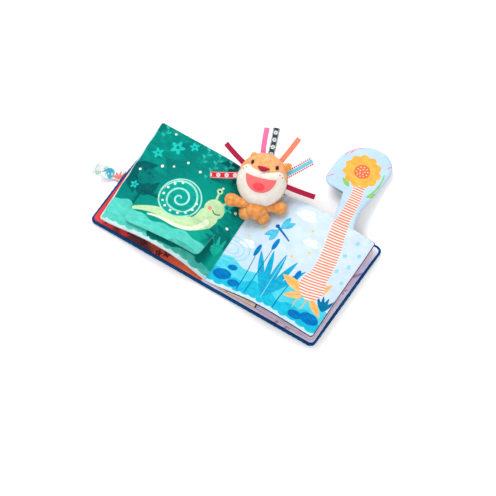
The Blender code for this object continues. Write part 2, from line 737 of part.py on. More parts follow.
navy = material("navy_cloth", (0.012, 0.060, 0.170), 0.85)
foam = material("soft_board", (0.85, 0.85, 0.82), 0.9)
clear_film = material("crinkle_film", (0.80, 0.84, 0.86), 0.35)
red_lining = material("red_lining", (0.55, 0.06, 0.06), 0.85)
lilac_lining = material("lilac_lining", (0.42, 0.28, 0.50), 0.85)
green = material("green_print", (0.0, 0.22, 0.17), 0.85)
mint = material("mint_cloth", (0.55, 0.82, 0.74), 0.85)
sky = material("sky_print", (0.45, 0.68, 0.82), 0.85)
maroon = material("maroon_cloth", (0.10, 0.03, 0.06), 0.85)
cream = material("cream_print", (0.80, 0.62, 0.32), 0.85)
orange = material("orange_print", (0.75, 0.20, 0.08), 0.85)
printed_tape = material("printed_tape", (0.80, 0.84, 0.82), 0.85)
doll_looks = {
    "plush": material("orange_plush", (0.80, 0.33, 0.06), 0.95),
    "fleece": material("white_fleece", (0.82, 0.78, 0.74), 0.95),
    "plastic": material("squeaker_plastic", (0.9, 0.9, 0.88), 0.4),
    "crimson": material("crimson_felt", (0.35, 0.01, 0.05), 0.9),
    "coral": material("coral_felt", (0.85, 0.12, 0.10), 0.9),
    "tongue": material("red_felt", (0.75, 0.04, 0.05), 0.9),
    "thread": material("dark_thread", (0.03, 0.01, 0.01), 0.5),
    "ribbon_red": material("red_ribbon", (0.60, 0.02, 0.06), 0.5),
    "ribbon_crimson": material("crimson_ribbon", (0.42, 0.01, 0.07), 0.4),
    "ribbon_pink": material("pink_ribbon", (0.80, 0.16, 0.38), 0.4),
    "ribbon_navy": material("navy_ribbon", (0.03, 0.07, 0.12), 0.5),
    "ribbon_coral": material("coral_ribbon", (0.85, 0.24, 0.13), 0.4),
    "ribbon_striped": material("striped_ribbon", (0.75, 0.70, 0.75), 0.5),
}

cover_fold = pivot("front_cover_fold", (-SPINE_HALF - GAP, 0, COVER_THICKNESS))
front_turn = pivot("front_leaf_turn", (0, 0, SEAM_HEIGHT))
top_turn = pivot("top_leaf_lift", (0, 0, SEAM_HEIGHT))
middle_turn = pivot("middle_leaf_lift", (0, 0, SEAM_HEIGHT))
flap_open = pivot("flap_open", (FLAP_LEFT, FLAP_HINGE_Y, FLAP_HINGE_Z), front_turn)
neck_fold = pivot("neck_panel_fold", (NECK_LEFT, PAGE_HEIGHT / 2 + 2 * GAP, NECK_HINGE_Z), top_turn)
tab_hinge = (-COVER_REACH - TAB_HINGE_ROOM, TAB_ROOT_Y, TAB_ROOT_Z + TAB_THICKNESS)
tab_fold = pivot("edge_tab_fold", tab_hinge, cover_fold)
doll_lift = pivot("doll_lift", HEAD_CENTRE)
arm_swings = {
    name: pivot("doll_arm_" + name + "_swing", points[0], doll_lift)
    for name, (points, radii) in ARMS.items()
}

add_spine(navy, lilac_lining, mint)
add_cover("back_cover", 1, navy, foam, lilac_lining, None)
add_cover("front_cover", -1, navy, foam, red_lining, cover_fold)
add_leaf("front_leaf", -1, front_leaf_height, green, mint, clear_film, front_turn)
add_leaf("top_leaf", 1, top_leaf_height, sky, maroon, clear_film, top_turn)
add_leaf("middle_leaf", 1, middle_leaf_height, cream, orange, clear_film, middle_turn)
add_flap(green, mint, clear_film, flap_open)
add_neck_panel(sky, mint, clear_film, neck_fold)
add_tab(printed_tape, tab_fold)
skull_room, wide_skull_room = add_head(doll_looks, doll_lift)
add_ribbons(doll_looks, skull_room, doll_lift)
add_body(doll_looks, skull_room, wide_skull_room, doll_lift, arm_swings)
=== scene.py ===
import math
import bpy
import numpy as np
from mathutils import Euler, Matrix, Vector


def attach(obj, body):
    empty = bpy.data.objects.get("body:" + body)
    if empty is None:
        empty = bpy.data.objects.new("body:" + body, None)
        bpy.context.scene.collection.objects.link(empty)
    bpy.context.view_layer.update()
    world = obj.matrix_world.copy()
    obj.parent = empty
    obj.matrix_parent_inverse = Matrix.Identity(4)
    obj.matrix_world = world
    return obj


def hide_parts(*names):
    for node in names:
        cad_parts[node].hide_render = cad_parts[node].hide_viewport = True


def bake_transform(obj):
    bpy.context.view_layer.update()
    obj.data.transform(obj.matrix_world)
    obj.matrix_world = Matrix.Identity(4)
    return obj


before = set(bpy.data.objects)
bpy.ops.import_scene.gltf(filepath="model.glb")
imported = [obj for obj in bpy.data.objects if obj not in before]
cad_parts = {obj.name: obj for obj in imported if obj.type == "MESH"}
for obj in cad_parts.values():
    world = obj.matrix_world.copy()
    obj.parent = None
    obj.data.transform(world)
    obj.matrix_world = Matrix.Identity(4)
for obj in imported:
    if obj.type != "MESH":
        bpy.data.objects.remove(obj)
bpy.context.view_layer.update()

mm = 0.001
print("cloth book: frame loaded,", len(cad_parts), "nodes")


# numbers and curves that the pieces share

def lerp(a, b, t):
    return a + (b - a) * t


def ease(t):
    t = np.clip(t, 0, 1)
    return t * t * (3 - 2 * t)


def roundIn(distance, radius):
    t = 1 - np.clip(distance / radius, 0, 1)
    return radius * (1 - np.sqrt(1 - t * t))


def ripple(x, y, size, seed=0):
    # soft, uneven waves about `size` across, between -1 and 1
    rng = np.random.default_rng(seed)
    total = np.zeros_like(x)
    for turn in range(9):
        angle = rng.uniform(0, math.pi)
        wave = 2 * math.pi / (size * rng.uniform(0.75, 1.6))
        phase = rng.uniform(0, 2 * math.pi)
        total += np.sin((x * math.cos(angle) + y * math.sin(angle)) * wave + phase)
    return total / 4.2


def spaced(line, count):
    # points evenly spaced along a closed line
    run = np.concatenate([[0], np.cumsum(np.hypot(*np.diff(line, axis=0).T))])
    at = np.linspace(0, run[-1], count, endpoint=False)
    return np.column_stack([np.interp(at, run, line[:, 0]), np.interp(at, run, line[:, 1])])


def relaxed(line, turns):
    # a closed line, smoothed
    for turn in range(turns):
        line = 0.25 * np.roll(line, 1, 0) + 0.5 * line + 0.25 * np.roll(line, -1, 0)
    return line


def boxDistance(x, y, cx, cy, halfX, halfY, corner):
    # how far a point lies inside a box with round corners, negative outside
    qx = np.abs(x - cx) - (halfX - corner)
    qy = np.abs(y - cy) - (halfY - corner)
    outside = np.hypot(np.maximum(qx, 0), np.maximum(qy, 0))
    return corner - outside - np.minimum(np.maximum(qx, qy), 0)


# mesh helpers

def deselectAll():
    if bpy.context.object and bpy.context.object.mode != "OBJECT":
        bpy.ops.object.mode_set(mode="OBJECT")
    bpy.ops.object.select_all(action="DESELECT")


def pick(piece):
    deselectAll()
    piece.select_set(True)
    bpy.context.view_layer.objects.active = piece


def getPoints(piece):
    flat = np.empty(len(piece.data.vertices) * 3)
    piece.data.vertices.foreach_get("co", flat)
    return flat.reshape(-1, 3)


def setPoints(piece, points):
    piece.data.vertices.foreach_set("co", np.ascontiguousarray(points, dtype=float).ravel())
    piece.data.update()


def setLayer(piece, name, values):
    layer = piece.data.attributes.new(name, "FLOAT", "POINT")
    layer.data.foreach_set("value", np.ascontiguousarray(values, dtype=np.float32))


def named(name):
    piece = bpy.context.object
    piece.name = name
    piece.data.name = name
    return piece


def newGrid(name, columns, rows):
    deselectAll()
    bpy.ops.mesh.primitive_grid_add(x_subdivisions=columns, y_subdivisions=rows, size=2)
    return named(name)


def newBall(name, segments, rings):
    deselectAll()
    bpy.ops.mesh.primitive_uv_sphere_add(segments=segments, ring_count=rings, radius=1)
    return named(name)


def gridPlaces(piece):
    points = getPoints(piece)
    return (points[:, 0] + 1) / 2, (points[:, 1] + 1) / 2


def turnOver(piece):
    pick(piece)
    bpy.ops.object.mode_set(mode="EDIT")
    bpy.ops.mesh.select_all(action="SELECT")
    bpy.ops.mesh.flip_normals()
    bpy.ops.object.mode_set(mode="OBJECT")


def facesOut(piece):
    pick(piece)
    bpy.ops.object.mode_set(mode="EDIT")
    bpy.ops.mesh.select_all(action="SELECT")
    bpy.ops.mesh.remove_doubles(threshold=0.000001)
    bpy.ops.mesh.normals_make_consistent(inside=False)
    bpy.ops.object.mode_set(mode="OBJECT")


def applyModifier(piece, kind, **settings):
    pick(piece)
    bpy.ops.object.modifier_add(type=kind)
    step = piece.modifiers[-1]
    for name, value in settings.items():
        setattr(step, name, value)
    bpy.ops.object.modifier_apply(modifier=step.name)


def addThickness(piece, thickness):
    applyModifier(piece, "SOLIDIFY", thickness=thickness, offset=-1, use_even_offset=False)


def roughen(piece, size, depth):
    # short pile and stuffing lumps, as real relief
    clouds = bpy.data.textures.new(piece.name + "_pile", "CLOUDS")
    clouds.noise_scale = size
    clouds.noise_depth = 2
    applyModifier(piece, "DISPLACE", texture=clouds, texture_coords="GLOBAL", strength=depth, mid_level=0.5)


def smooth(piece, angle=60):
    pick(piece)
    bpy.ops.object.shade_smooth_by_angle(angle=math.radians(angle))


clothThickness = 0.0005


def finishSheet(piece, x, y, z, thickness=clothThickness, up=1, angle=60):
    # up is -1 for a cloth that faces down
    setPoints(piece, np.column_stack([x, y, z]))
    if up < 0:
        turnOver(piece)
    addThickness(piece, thickness)
    smooth(piece, angle)
    return piece


def finishRound(piece, points):
    setPoints(piece, points)
    facesOut(piece)
    smooth(piece, 70)
    return piece


def dress(piece, material, node, body=None):
    piece.data.materials.clear()
    piece.data.materials.append(material)
    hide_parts(node)
    if body:
        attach(piece, body)


# shader helpers

def linear(code):
    parts = [int(code[i:i + 2], 16) / 255 for i in (1, 3, 5)]
    return tuple(c / 12.92 if c < 0.04045 else ((c + 0.055) / 1.055) ** 2.4 for c in parts) + (1,)


def newMaterial(name):
    material = bpy.data.materials.new(name)
    material.use_nodes = True
    tree = material.node_tree
    tree.nodes.clear()
    out = tree.nodes.new("ShaderNodeOutputMaterial")
    shader = tree.nodes.new("ShaderNodeBsdfPrincipled")
    tree.links.new(shader.outputs[0], out.inputs["Surface"])
    return material, tree, shader


def put(tree, socket, value):
    if isinstance(value, bpy.types.NodeSocket):
        tree.links.new(value, socket)
    else:
        socket.default_value = value


def maths(tree, operation, a, b=0.0, clamp=False):
    step = tree.nodes.new("ShaderNodeMath")
    step.operation = operation
    step.use_clamp = clamp
    put(tree, step.inputs[0], a)
    put(tree, step.inputs[1], b)
    return step.outputs[0]


def mixColour(tree, factor, a, b, blend="MIX"):
    step = tree.nodes.new("ShaderNodeMix")
    step.data_type = "RGBA"
    step.blend_type = blend
    put(tree, step.inputs["Factor"], factor)
    put(tree, step.inputs[6], a)
    put(tree, step.inputs[7], b)
    return step.outputs[2]


def twoTone(tree, factor, first, second):
    return mixColour(tree, factor, linear(first), linear(second))


def objectPlace(tree):
    return tree.nodes.new("ShaderNodeTexCoord").outputs["Object"]


def scaled(tree, place, scale, turn=0.0):
    step = tree.nodes.new("ShaderNodeMapping")
    put(tree, step.inputs["Vector"], place)
    step.inputs["Scale"].default_value = scale
    step.inputs["Rotation"].default_value = (0, 0, turn)
    return step.outputs[0]


def noise(tree, place, size, detail=3.0, roughness=0.5, distortion=0.0):
    step = tree.nodes.new("ShaderNodeTexNoise")
    put(tree, step.inputs["Vector"], place)
    step.inputs["Scale"].default_value = 1 / size
    step.inputs["Detail"].default_value = detail
    step.inputs["Roughness"].default_value = roughness
    step.inputs["Distortion"].default_value = distortion
    return step.outputs["Fac"]


def layerValue(tree, name):
    step = tree.nodes.new("ShaderNodeAttribute")
    step.attribute_name = name
    return step.outputs["Fac"]


def fade(tree, value, low, high, first=0.0, last=1.0):
    step = tree.nodes.new("ShaderNodeMapRange")
    step.interpolation_type = "SMOOTHSTEP"
    put(tree, step.inputs["Value"], value)
    step.inputs["From Min"].default_value = low
    step.inputs["From Max"].default_value = high
    step.inputs["To Min"].default_value = first
    step.inputs["To Max"].default_value = last
    return step.outputs["Result"]


def ramp(tree, value, stops):
    step = tree.nodes.new("ShaderNodeValToRGB")
    put(tree, step.inputs["Fac"], value)
    band = step.color_ramp
    while len(band.elements) < len(stops):
        band.elements.new(0.5)
    for element, (place, code) in zip(band.elements, stops):
        element.position = place
        element.color = linear(code)
    return step.outputs["Color"]


def stripes(tree, phase, share, soft=0.12):
    # 1 on a stripe, 0 between stripes; phase grows by 1 from stripe to stripe
    saw = maths(tree, "FRACT", phase)
    off = maths(tree, "ABSOLUTE", maths(tree, "SUBTRACT", saw, 0.5))
    return fade(tree, off, share / 2 - soft / 2, share / 2 + soft / 2, 1.0, 0.0)


def weave(tree, place, thread):
    # plain weave: over and under, one thread apart
    split = tree.nodes.new("ShaderNodeSeparateXYZ")
    put(tree, split.inputs[0], place)
    turn = 2 * math.pi / thread
    warp = maths(tree, "SINE", maths(tree, "MULTIPLY", split.outputs[0], turn))
    weft = maths(tree, "SINE", maths(tree, "MULTIPLY", split.outputs[1], turn))
    return maths(tree, "MULTIPLY", warp, weft)


def bump(tree, height, depth, strength=1.0, after=None):
    step = tree.nodes.new("ShaderNodeBump")
    step.inputs["Strength"].default_value = strength
    step.inputs["Distance"].default_value = depth
    put(tree, step.inputs["Height"], height)
    if after is not None:
        put(tree, step.inputs["Normal"], after)
    return step.outputs[0]


def setFinish(shader, roughness, sheen=0.0, sheenRoughness=0.5, tint="#FFFFFF", gloss=0.05):
    shader.inputs["Roughness"].default_value = roughness
    shader.inputs["Specular IOR Level"].default_value = gloss
    shader.inputs["Sheen Weight"].default_value = sheen
    shader.inputs["Sheen Roughness"].default_value = sheenRoughness
    shader.inputs["Sheen Tint"].default_value = linear(tint)


clothLook = {
    "thread": 0.0005,        # one thread and its gap
    "threadDepth": 0.00006,
    "crinkleSize": 0.011,    # creases of the film under the cloth
    "crinkleDepth": 0.0011,
    "roughness": 0.82,
    "sheen": 0.01,
    "wear": 0.05,            # how far the dye varies
}


def finishCloth(tree, shader, colour, look=clothLook, **changes):
    look = {**look, **changes}
    place = objectPlace(tree)
    dye = fade(tree, noise(tree, place, 0.016, 4.0, 0.6), 0.3, 0.7, 1 - look["wear"], 1 + look["wear"])
    threads = weave(tree, place, look["thread"])
    shade = maths(tree, "MULTIPLY_ADD", threads, 0.05)
    tree.nodes[-1].inputs[2].default_value = 0.98
    both = maths(tree, "MULTIPLY", dye, shade)
    tinted = mixColour(tree, 1.0, colour, both, "MULTIPLY")
    put(tree, shader.inputs["Base Color"], tinted)
    setFinish(shader, look["roughness"], look["sheen"])
    creases = noise(tree, place, look["crinkleSize"], 2.0, 0.45, 0.6)
    normal = bump(tree, creases, look["crinkleDepth"], 0.6)
    normal = bump(tree, threads, look["threadDepth"], 0.7, normal)
    put(tree, shader.inputs["Normal"], normal)


def printedCloth(name, toneStops, layers, **changes):
    # ground colour from the tone layer, then each motif over it:
    # (layer, colour, second colour, width of its edge in mm, stripes or None)
    material, tree, shader = newMaterial(name)
    place = objectPlace(tree)
    brush = noise(tree, scaled(tree, place, (1, 2.2, 1), 0.5), 0.012, 5.0, 0.65, 0.4)
    tone = maths(tree, "ADD", layerValue(tree, "tone"), fade(tree, brush, 0.25, 0.75, -0.07, 0.07))
    colour = ramp(tree, tone, toneStops)
    for layer in layers:
        name, first, second, edge = layer[:4]
        wash = fade(tree, brush, 0.36, 0.64)
        paint = twoTone(tree, wash, first, second)
        if len(layer) > 4:
            phase, share, lineColour = layer[4]
            onLine = stripes(tree, layerValue(tree, phase), share)
            paint = mixColour(tree, onLine, paint, linear(lineColour))
        cover = fade(tree, layerValue(tree, name), -edge / 2, edge / 2, 1.0, 0.0)
        colour = mixColour(tree, cover, colour, paint)
    finishCloth(tree, shader, colour, **changes)
    return material


def plainCloth(name, first, second, size=0.014, **changes):
    material, tree, shader = newMaterial(name)
    wash = fade(tree, noise(tree, objectPlace(tree), size, 4.0, 0.6), 0.35, 0.65)
    finishCloth(tree, shader, twoTone(tree, wash, first, second), **changes)
    return material


# motifs of the prints, in millimetres on the page; each gives a distance, negative inside

def blank(x):
    # a layer with nothing on it yet
    return np.full(np.shape(x), 1e3)


def union(*distances):
    return np.minimum.reduce(distances)


def disc(x, y, cx, cy, radius):
    return np.hypot(x - cx, y - cy) - radius


def turned(x, y, cx, cy, angle):
    c = math.cos(math.radians(angle))
    s = math.sin(math.radians(angle))
    return (x - cx) * c + (y - cy) * s, (y - cy) * c - (x - cx) * s


def oval(x, y, cx, cy, a, b, angle=0):
    u, v = turned(x, y, cx, cy, angle)
    near = np.hypot(u / a, v / b)
    steep = np.hypot(u / a ** 2, v / b ** 2) + 1e-6
    return near * (near - 1) / steep


def blade(x, y, cx, cy, angle, length, width, belly=0.5):
    # one pointed leaf from its foot (cx, cy)
    u, v = turned(x, y, cx, cy, angle)
    t = np.clip(u / length, 0, 1)
    half = width / 2 * np.sin(math.pi * t ** (math.log(0.5) / math.log(belly))) ** 0.9
    beyond = np.maximum(-u, u - length)
    return np.where(beyond > 0, np.hypot(np.maximum(beyond, 0), v), np.abs(v) - half)


def stroke(x, y, points, width, endWidth=None):
    # a brush line along points, its width changing towards the end
    endWidth = width if endWidth is None else endWidth
    total = blank(x)
    steps = len(points) - 1
    for i in range(steps):
        (ax, ay), (bx, by) = points[i], points[i + 1]
        length = (bx - ax) ** 2 + (by - ay) ** 2
        t = np.clip(((x - ax) * (bx - ax) + (y - ay) * (by - ay)) / length, 0, 1)
        half = lerp(width, endWidth, (i + t) / steps) / 2
        total = np.minimum(total, np.hypot(x - ax - t * (bx - ax), y - ay - t * (by - ay)) - half)
    return total


def bow(start, middle, end, steps=10):
    # points on a curve from start to end, drawn towards middle
    t = np.linspace(0, 1, steps + 1)[:, None]
    points = (1 - t) ** 2 * np.array(start) + 2 * t * (1 - t) * np.array(middle) + t ** 2 * np.array(end)
    return [tuple(p) for p in points]


def fan(x, y, cx, cy, angles, length, width, belly=0.45):
    return np.minimum.reduce([blade(x, y, cx, cy, a, length, width, belly) for a in angles])


def drop(x, y, cx, cy, radius, angle):
    u, v = turned(x, y, cx, cy, angle)
    narrow = np.clip(u / (radius * 2.2), 0, 1)
    return np.hypot(np.maximum(u, 0) * 0.45 + np.minimum(u, 0), v) - radius * (1 - 0.75 * narrow)


def strewn(x, y, seed, count, spanX, spanY, lengths, widths):
    # slanting brush marks, strewn over the cloth
    marks = blank(x)
    rng = np.random.default_rng(seed)
    for i in range(count):
        cx, cy = rng.uniform(*spanX), rng.uniform(*spanY)
        length, width = rng.uniform(*lengths), rng.uniform(*widths)
        marks = union(marks, oval(x, y, cx, cy, length, width, rng.uniform(10, 70)))
    return marks


def scallop(x, y, base, depth, pitch, shift=0.0):
    # a pale margin under the print, whose lower edge hangs in uneven round clumps
    run = x + shift + 0.22 * pitch * np.sin(x / 23 + shift)
    t = run / pitch - np.floor(run / pitch) - 0.5
    uneven = 0.75 + 0.25 * np.sin(np.floor(run / pitch) * 2.3)
    return y - (base - depth * uneven * np.sqrt(np.clip(1 - 4 * t * t, 0, 1)))


# places and sizes of the leaves, worked out as the frame's solids are

leafSize = {
    "reach": 0.190,
    "half": 0.091,
    "length": 0.182,
    "inner": 0.0027,
    "gutter": 0.0004,        # the cloth runs on into the seam
    "corner": 0.0045,
    "cloth": 0.00055,
    "edge": 0.0011,          # half thickness at the seam
    "puff": 0.0020,          # more half thickness inside
    "puffLength": 0.007,
}
flapSize = {
    "left": -0.154,
    "right": -0.0225,
    "hinge": -0.0245,
    "out": 0.055,
    "corner": 0.009,
    "lift": 0.020,
}


def frontHeight(r, share):
    rise = np.sin(math.pi / 2 * np.clip((r - leafSize["inner"]) / 0.072, 0, 1))
    top = lerp(0.0395, 0.0340, share)
    return lerp(0.0110, top, rise) - lerp(0.0210, 0.0020, share) * ease((r - 0.095) / 0.095)


def topHeight(r, share=None):
    start = lerp(0.01215, 0.0310, ease((r - leafSize["inner"]) / 0.080))
    return start + 0.0050 * np.exp(-((r - 0.112) / 0.038) ** 2) - 0.0035 * ease((r - 0.150) / 0.040)


def middleHeight(r, share=None):
    start = lerp(0.00965, 0.0150, ease((r - leafSize["inner"]) / 0.086))
    return start - 0.0025 * ease((r - 0.120) / 0.070)


def leafPlace(s, t, side):
    # s from the gutter to the outer edge; the last part runs round the corners
    straight = 0.93
    reach, corner = leafSize["reach"], leafSize["corner"]
    turn = math.pi / 2 * np.clip((s - straight) / (1 - straight), 0, 1)
    r = np.where(
        s < straight,
        lerp(leafSize["gutter"], reach - corner, s / straight),
        reach - corner + corner * np.sin(turn),
    )
    half = leafSize["half"] - corner * (1 - np.cos(turn))
    return side * r, (2 * t - 1) * half


def leafSurface(x, y, height, up, waves=0.0007, seed=3):
    r = np.abs(x)
    share = y / leafSize["length"] + 0.5
    half = leafSize["half"]
    inside = boxDistance(r, y, leafSize["reach"] - 0.15, 0, 0.15, half, leafSize["corner"])
    inside = np.minimum(np.maximum(inside, 0), r * 1.4 + 0.0002)
    puff = leafSize["edge"] + leafSize["puff"] * (1 - np.exp(-inside / leafSize["puffLength"]))
    puff = puff * lerp(0.30, 1.0, ease(r / 0.036))
    around = np.where(np.abs(y) > r - 0.1, x, y)
    gather = np.exp(-inside / 0.006) * 0.00028 * np.sin(around * 2 * math.pi / 0.0085)
    sway = waves * ripple(x, y, 0.055, seed) * ease(inside / 0.02)
    lumps = 0.00022 * ripple(x, y, 0.017, seed + 5) * ease(inside / 0.008) * up
    return height(r, share) + up * puff + gather + sway + lumps


def makeLeafCloth(name, side, height, up, step, seed, waves=0.0007, grow=0.0):
    piece = newGrid(name, round(0.1873 / step), round(leafSize["length"] / step))
    s, t = gridPlaces(piece)
    if side < 0:
        s = 1 - s
    x, y = leafPlace(s, t, side)
    z = leafSurface(x, y, height, up, waves, seed)
    # a lower cloth may stand out past the upper one as a thin line
    wider = 1 + grow / leafSize["half"] * ease((np.abs(x) - 0.02) / 0.03)
    x = x * (1 + grow / leafSize["reach"])
    if height is topHeight:
        x = x + 0.0030 * ease((y + 0.05) / 0.14) * ease((x - 0.10) / 0.09)
    return finishSheet(piece, x, y * wider, z, leafSize["cloth"], up)


# prints: the green page

snail = {
    "shell": (-97.0, -6.0),
    "shellRadius": 33.0,
    "turns": 2.6,
    "head": (-44.0, 8.0),
    "headRadius": 15.5,
}

hangingVines = ((-102, 34), (-82, 52), (-62, 30), (-176, 26))    # place across and length, mm
vineTop = 94
vineGap = 7                                                      # from leaf to leaf
pageFlowers = ((-146, 66, 12), (-124, 80, 8), (-168, 44, 9), (-30, 22, 10), (-172, -18, 7))
firefliesAt = (
    (-16, 24, 2.2), (-118, 52, 2.0), (-150, 28, 2.4), (-14, -4, 2.2), (-178, 8, 2.0),
    (-50, 44, 1.8), (-134, 36, 1.8), (-20, -42, 2.4), (-94, 48, 2.2), (-160, 84, 2.0),
)


def greenLayers(x, y):
    cx, cy = snail["shell"]
    hx, hy = snail["head"]
    tone = 0.16 + 0.36 * ease((x + 185) / 150) + 0.26 * ease((30 - y) / 115)
    tone += 0.14 * np.exp(-(((x + 95) / 60) ** 2 + ((y + 10) / 40) ** 2))
    deep = fan(x, y, -205, 62, (-62, -34, -6, 22), 84, 24, 0.6)
    deep = union(deep, fan(x, y, -70, 120, (-150, -122, -96, -66), 74, 22, 0.6))
    deep = union(deep, fan(x, y, 18, -4, (112, 140, 168, 196, 224), 70, 17, 0.6))
    dark = fan(x, y, -196, 4, (-50, -24, 2, 28), 46, 17)
    dark = union(dark, fan(x, y, -40, 98, (-150, -122, -94, -66), 40, 15))
    dark = union(dark, fan(x, y, -150, -30, (70, 104, 138), 34, 14))
    mid = fan(x, y, 4, 34, (118, 140, 162, 184, 206), 46, 10)
    mid = union(mid, fan(x, y, 2, -30, (120, 142, 164, 188), 38, 10))
    mid = union(mid, fan(x, y, -20, 99, (-150, -130, -108, -86), 42, 10))
    mid = union(mid, fan(x, y, -168, -12, (34, 58, 84, 110), 30, 8))
    vines = blank(x)
    for across, length in hangingVines:
        hang = bow((across, vineTop), (across + 4, vineTop - length / 2), (across, vineTop - length))
        vines = union(vines, stroke(x, y, hang, 1.3, 0.9))
        for i in range(int(length / vineGap)):
            side = 1 if i % 2 else -1
            leafY = vineTop - 6 - vineGap * i
            vines = union(vines, oval(x, y, across + 2 + side * 3.6, leafY, 3.4, 1.9, side * 40))
    flowers = blank(x)
    for px, py, size in pageFlowers:
        far = np.hypot(x - px, y - py)
        petals = size * (0.74 + 0.26 * np.cos(5 * np.arctan2(y - py, x - px) + px))
        flowers = np.maximum(union(flowers, far - petals), 0.22 * size - far)
    glow = fan(x, y, -8, -52, (86, 104, 124, 146), 34, 5.5)
    glow = union(glow, fan(x, y, -150, -78, (52, 78, 104, 130), 22, 5.0))
    hills = y - (-54 + 8 * np.cos((x + 172) / 19) + 3 * np.sin(x / 5.5))
    hills = np.maximum(hills, x + 104 + 8 * np.sin(y / 7))
    hills = union(hills, oval(x, y, -176, -74, 40, 25, 8))
    paleHills = union(oval(x, y, -18, -93, 50, 20, -6), oval(x, y, -72, -99, 44, 17, 3))
    spine = bow((-150, -54), (-122, -40), (-92, -42)) + bow((-92, -42), (-50, -44), (-46, -8))[1:]
    body = stroke(x, y, spine, 6, 30)
    body = union(body, disc(x, y, hx, hy, snail["headRadius"]))
    for reach in (-7, 8):
        tip = (hx + reach * 1.5 + 3, hy + 29)
        body = union(body, stroke(x, y, [(hx + reach * 0.6, hy + 8), tip], 3.6, 2.8), disc(x, y, *tip, 4.6))
    belly = stroke(x, y, [(px + 3, py - 9) for px, py in spine[4:]], 3, 9)
    u = x - cx
    v = y - cy
    radius = np.hypot(u, v)
    angle = np.arctan2(v, u) / (2 * math.pi)
    shell = radius - snail["shellRadius"]
    gap = snail["shellRadius"] / snail["turns"]
    curl = union(*[np.abs(radius - gap * (angle + turn)) - 1.5 for turn in range(4)])
    curl = np.maximum(curl, shell + 2.0)
    rim = np.abs(shell) - 1.1
    spots = blank(x)
    for i in range(11):
        a = math.radians(26.0 * i + 112)
        far = snail["shellRadius"] - 6.2
        spots = union(spots, disc(x, y, cx + far * math.cos(a), cy + far * math.sin(a), 2.1))
    eyes = union(disc(x, y, hx - 7.5, hy + 29, 2.0), disc(x, y, hx + 15, hy + 29, 2.0))
    mouth = stroke(x, y, bow((hx - 1, hy - 3), (hx + 5, hy - 9), (hx + 11, hy - 2)), 1.6)
    cheeks = disc(x, y, hx - 6.5, hy - 2.5, 3.2)
    fireflies = union(*[disc(x, y, *spot) for spot in firefliesAt])
    margin = union(scallop(x, y, -83.4, 4.6, 14.5, 4), x + 188.6 + 0.5 * np.sin(y / 6))
    return {
        "tone": tone,
        "deep": deep,
        "dark": dark,
        "mid": mid,
        "vines": vines,
        "flowers": flowers,
        "glow": glow,
        "hills": hills,
        "paleHills": paleHills,
        "body": body,
        "belly": belly,
        "shell": shell,
        "curl": union(curl, rim),
        "spots": spots,
        "inked": union(eyes, mouth),
        "cheeks": cheeks,
        "fireflies": fireflies,
        "margin": margin,
    }


def pageLayers(x, y):
    # the page is darker round the flap, which lies over it: painted shade in the tone round the flap, and a
    # painted shadow right of its free end
    layers = greenLayers(x, y)
    left, right = flapSize["left"] * 1000, flapSize["right"] * 1000
    near = boxDistance(x, y, (left + right) / 2 + 3, -52, (right - left) / 2 + 5, 32, 8)
    # painted shade: the tone is lowered in a soft box round the flap
    layers["tone"] = layers["tone"] - 0.5 * ease((near + 7) / 9)
    # painted shadow: the under layer is a soft dark patch right of the flap
    layers["under"] = -boxDistance(x, y, right - 1, -54, 5.5, 23, 5)
    return layers


def flapLayers(x, y):
    layers = greenLayers(x, y)
    layers["hills"] = y - (-57 + 4 * np.cos((x + 172) / 19) + 2 * np.sin(x / 5.5))
    layers["paleHills"] = oval(x, y, -40, -84, 34, 14, -6)
    layers["glow"] = blank(x)
    # the flap itself carries none of the painted shadow
    layers["under"] = layers["glow"]
    return layers


skyClouds = ((84, 70, 17), (112, 34, 13), (26, -10, 13))    # middle and half width, mm
dragonfly = (58.0, 34.0, 152.0)                             # place and lean of its body
rippleSizes = (12, 21, 30)
rainAt = ((172, 74), (184, 58), (166, 46), (180, 34), (168, 18), (184, 6))
pebblesAt = ((18, -70, 15), (42, -77, 10), (27, -54, 8), (150, -76, 11), (172, -70, 15))
budsAt = ((104, 54, 2.4), (118, 20, 2.2), (34, 26, 2.8), (20, 4, 2.0), (98, 2, 2.4))


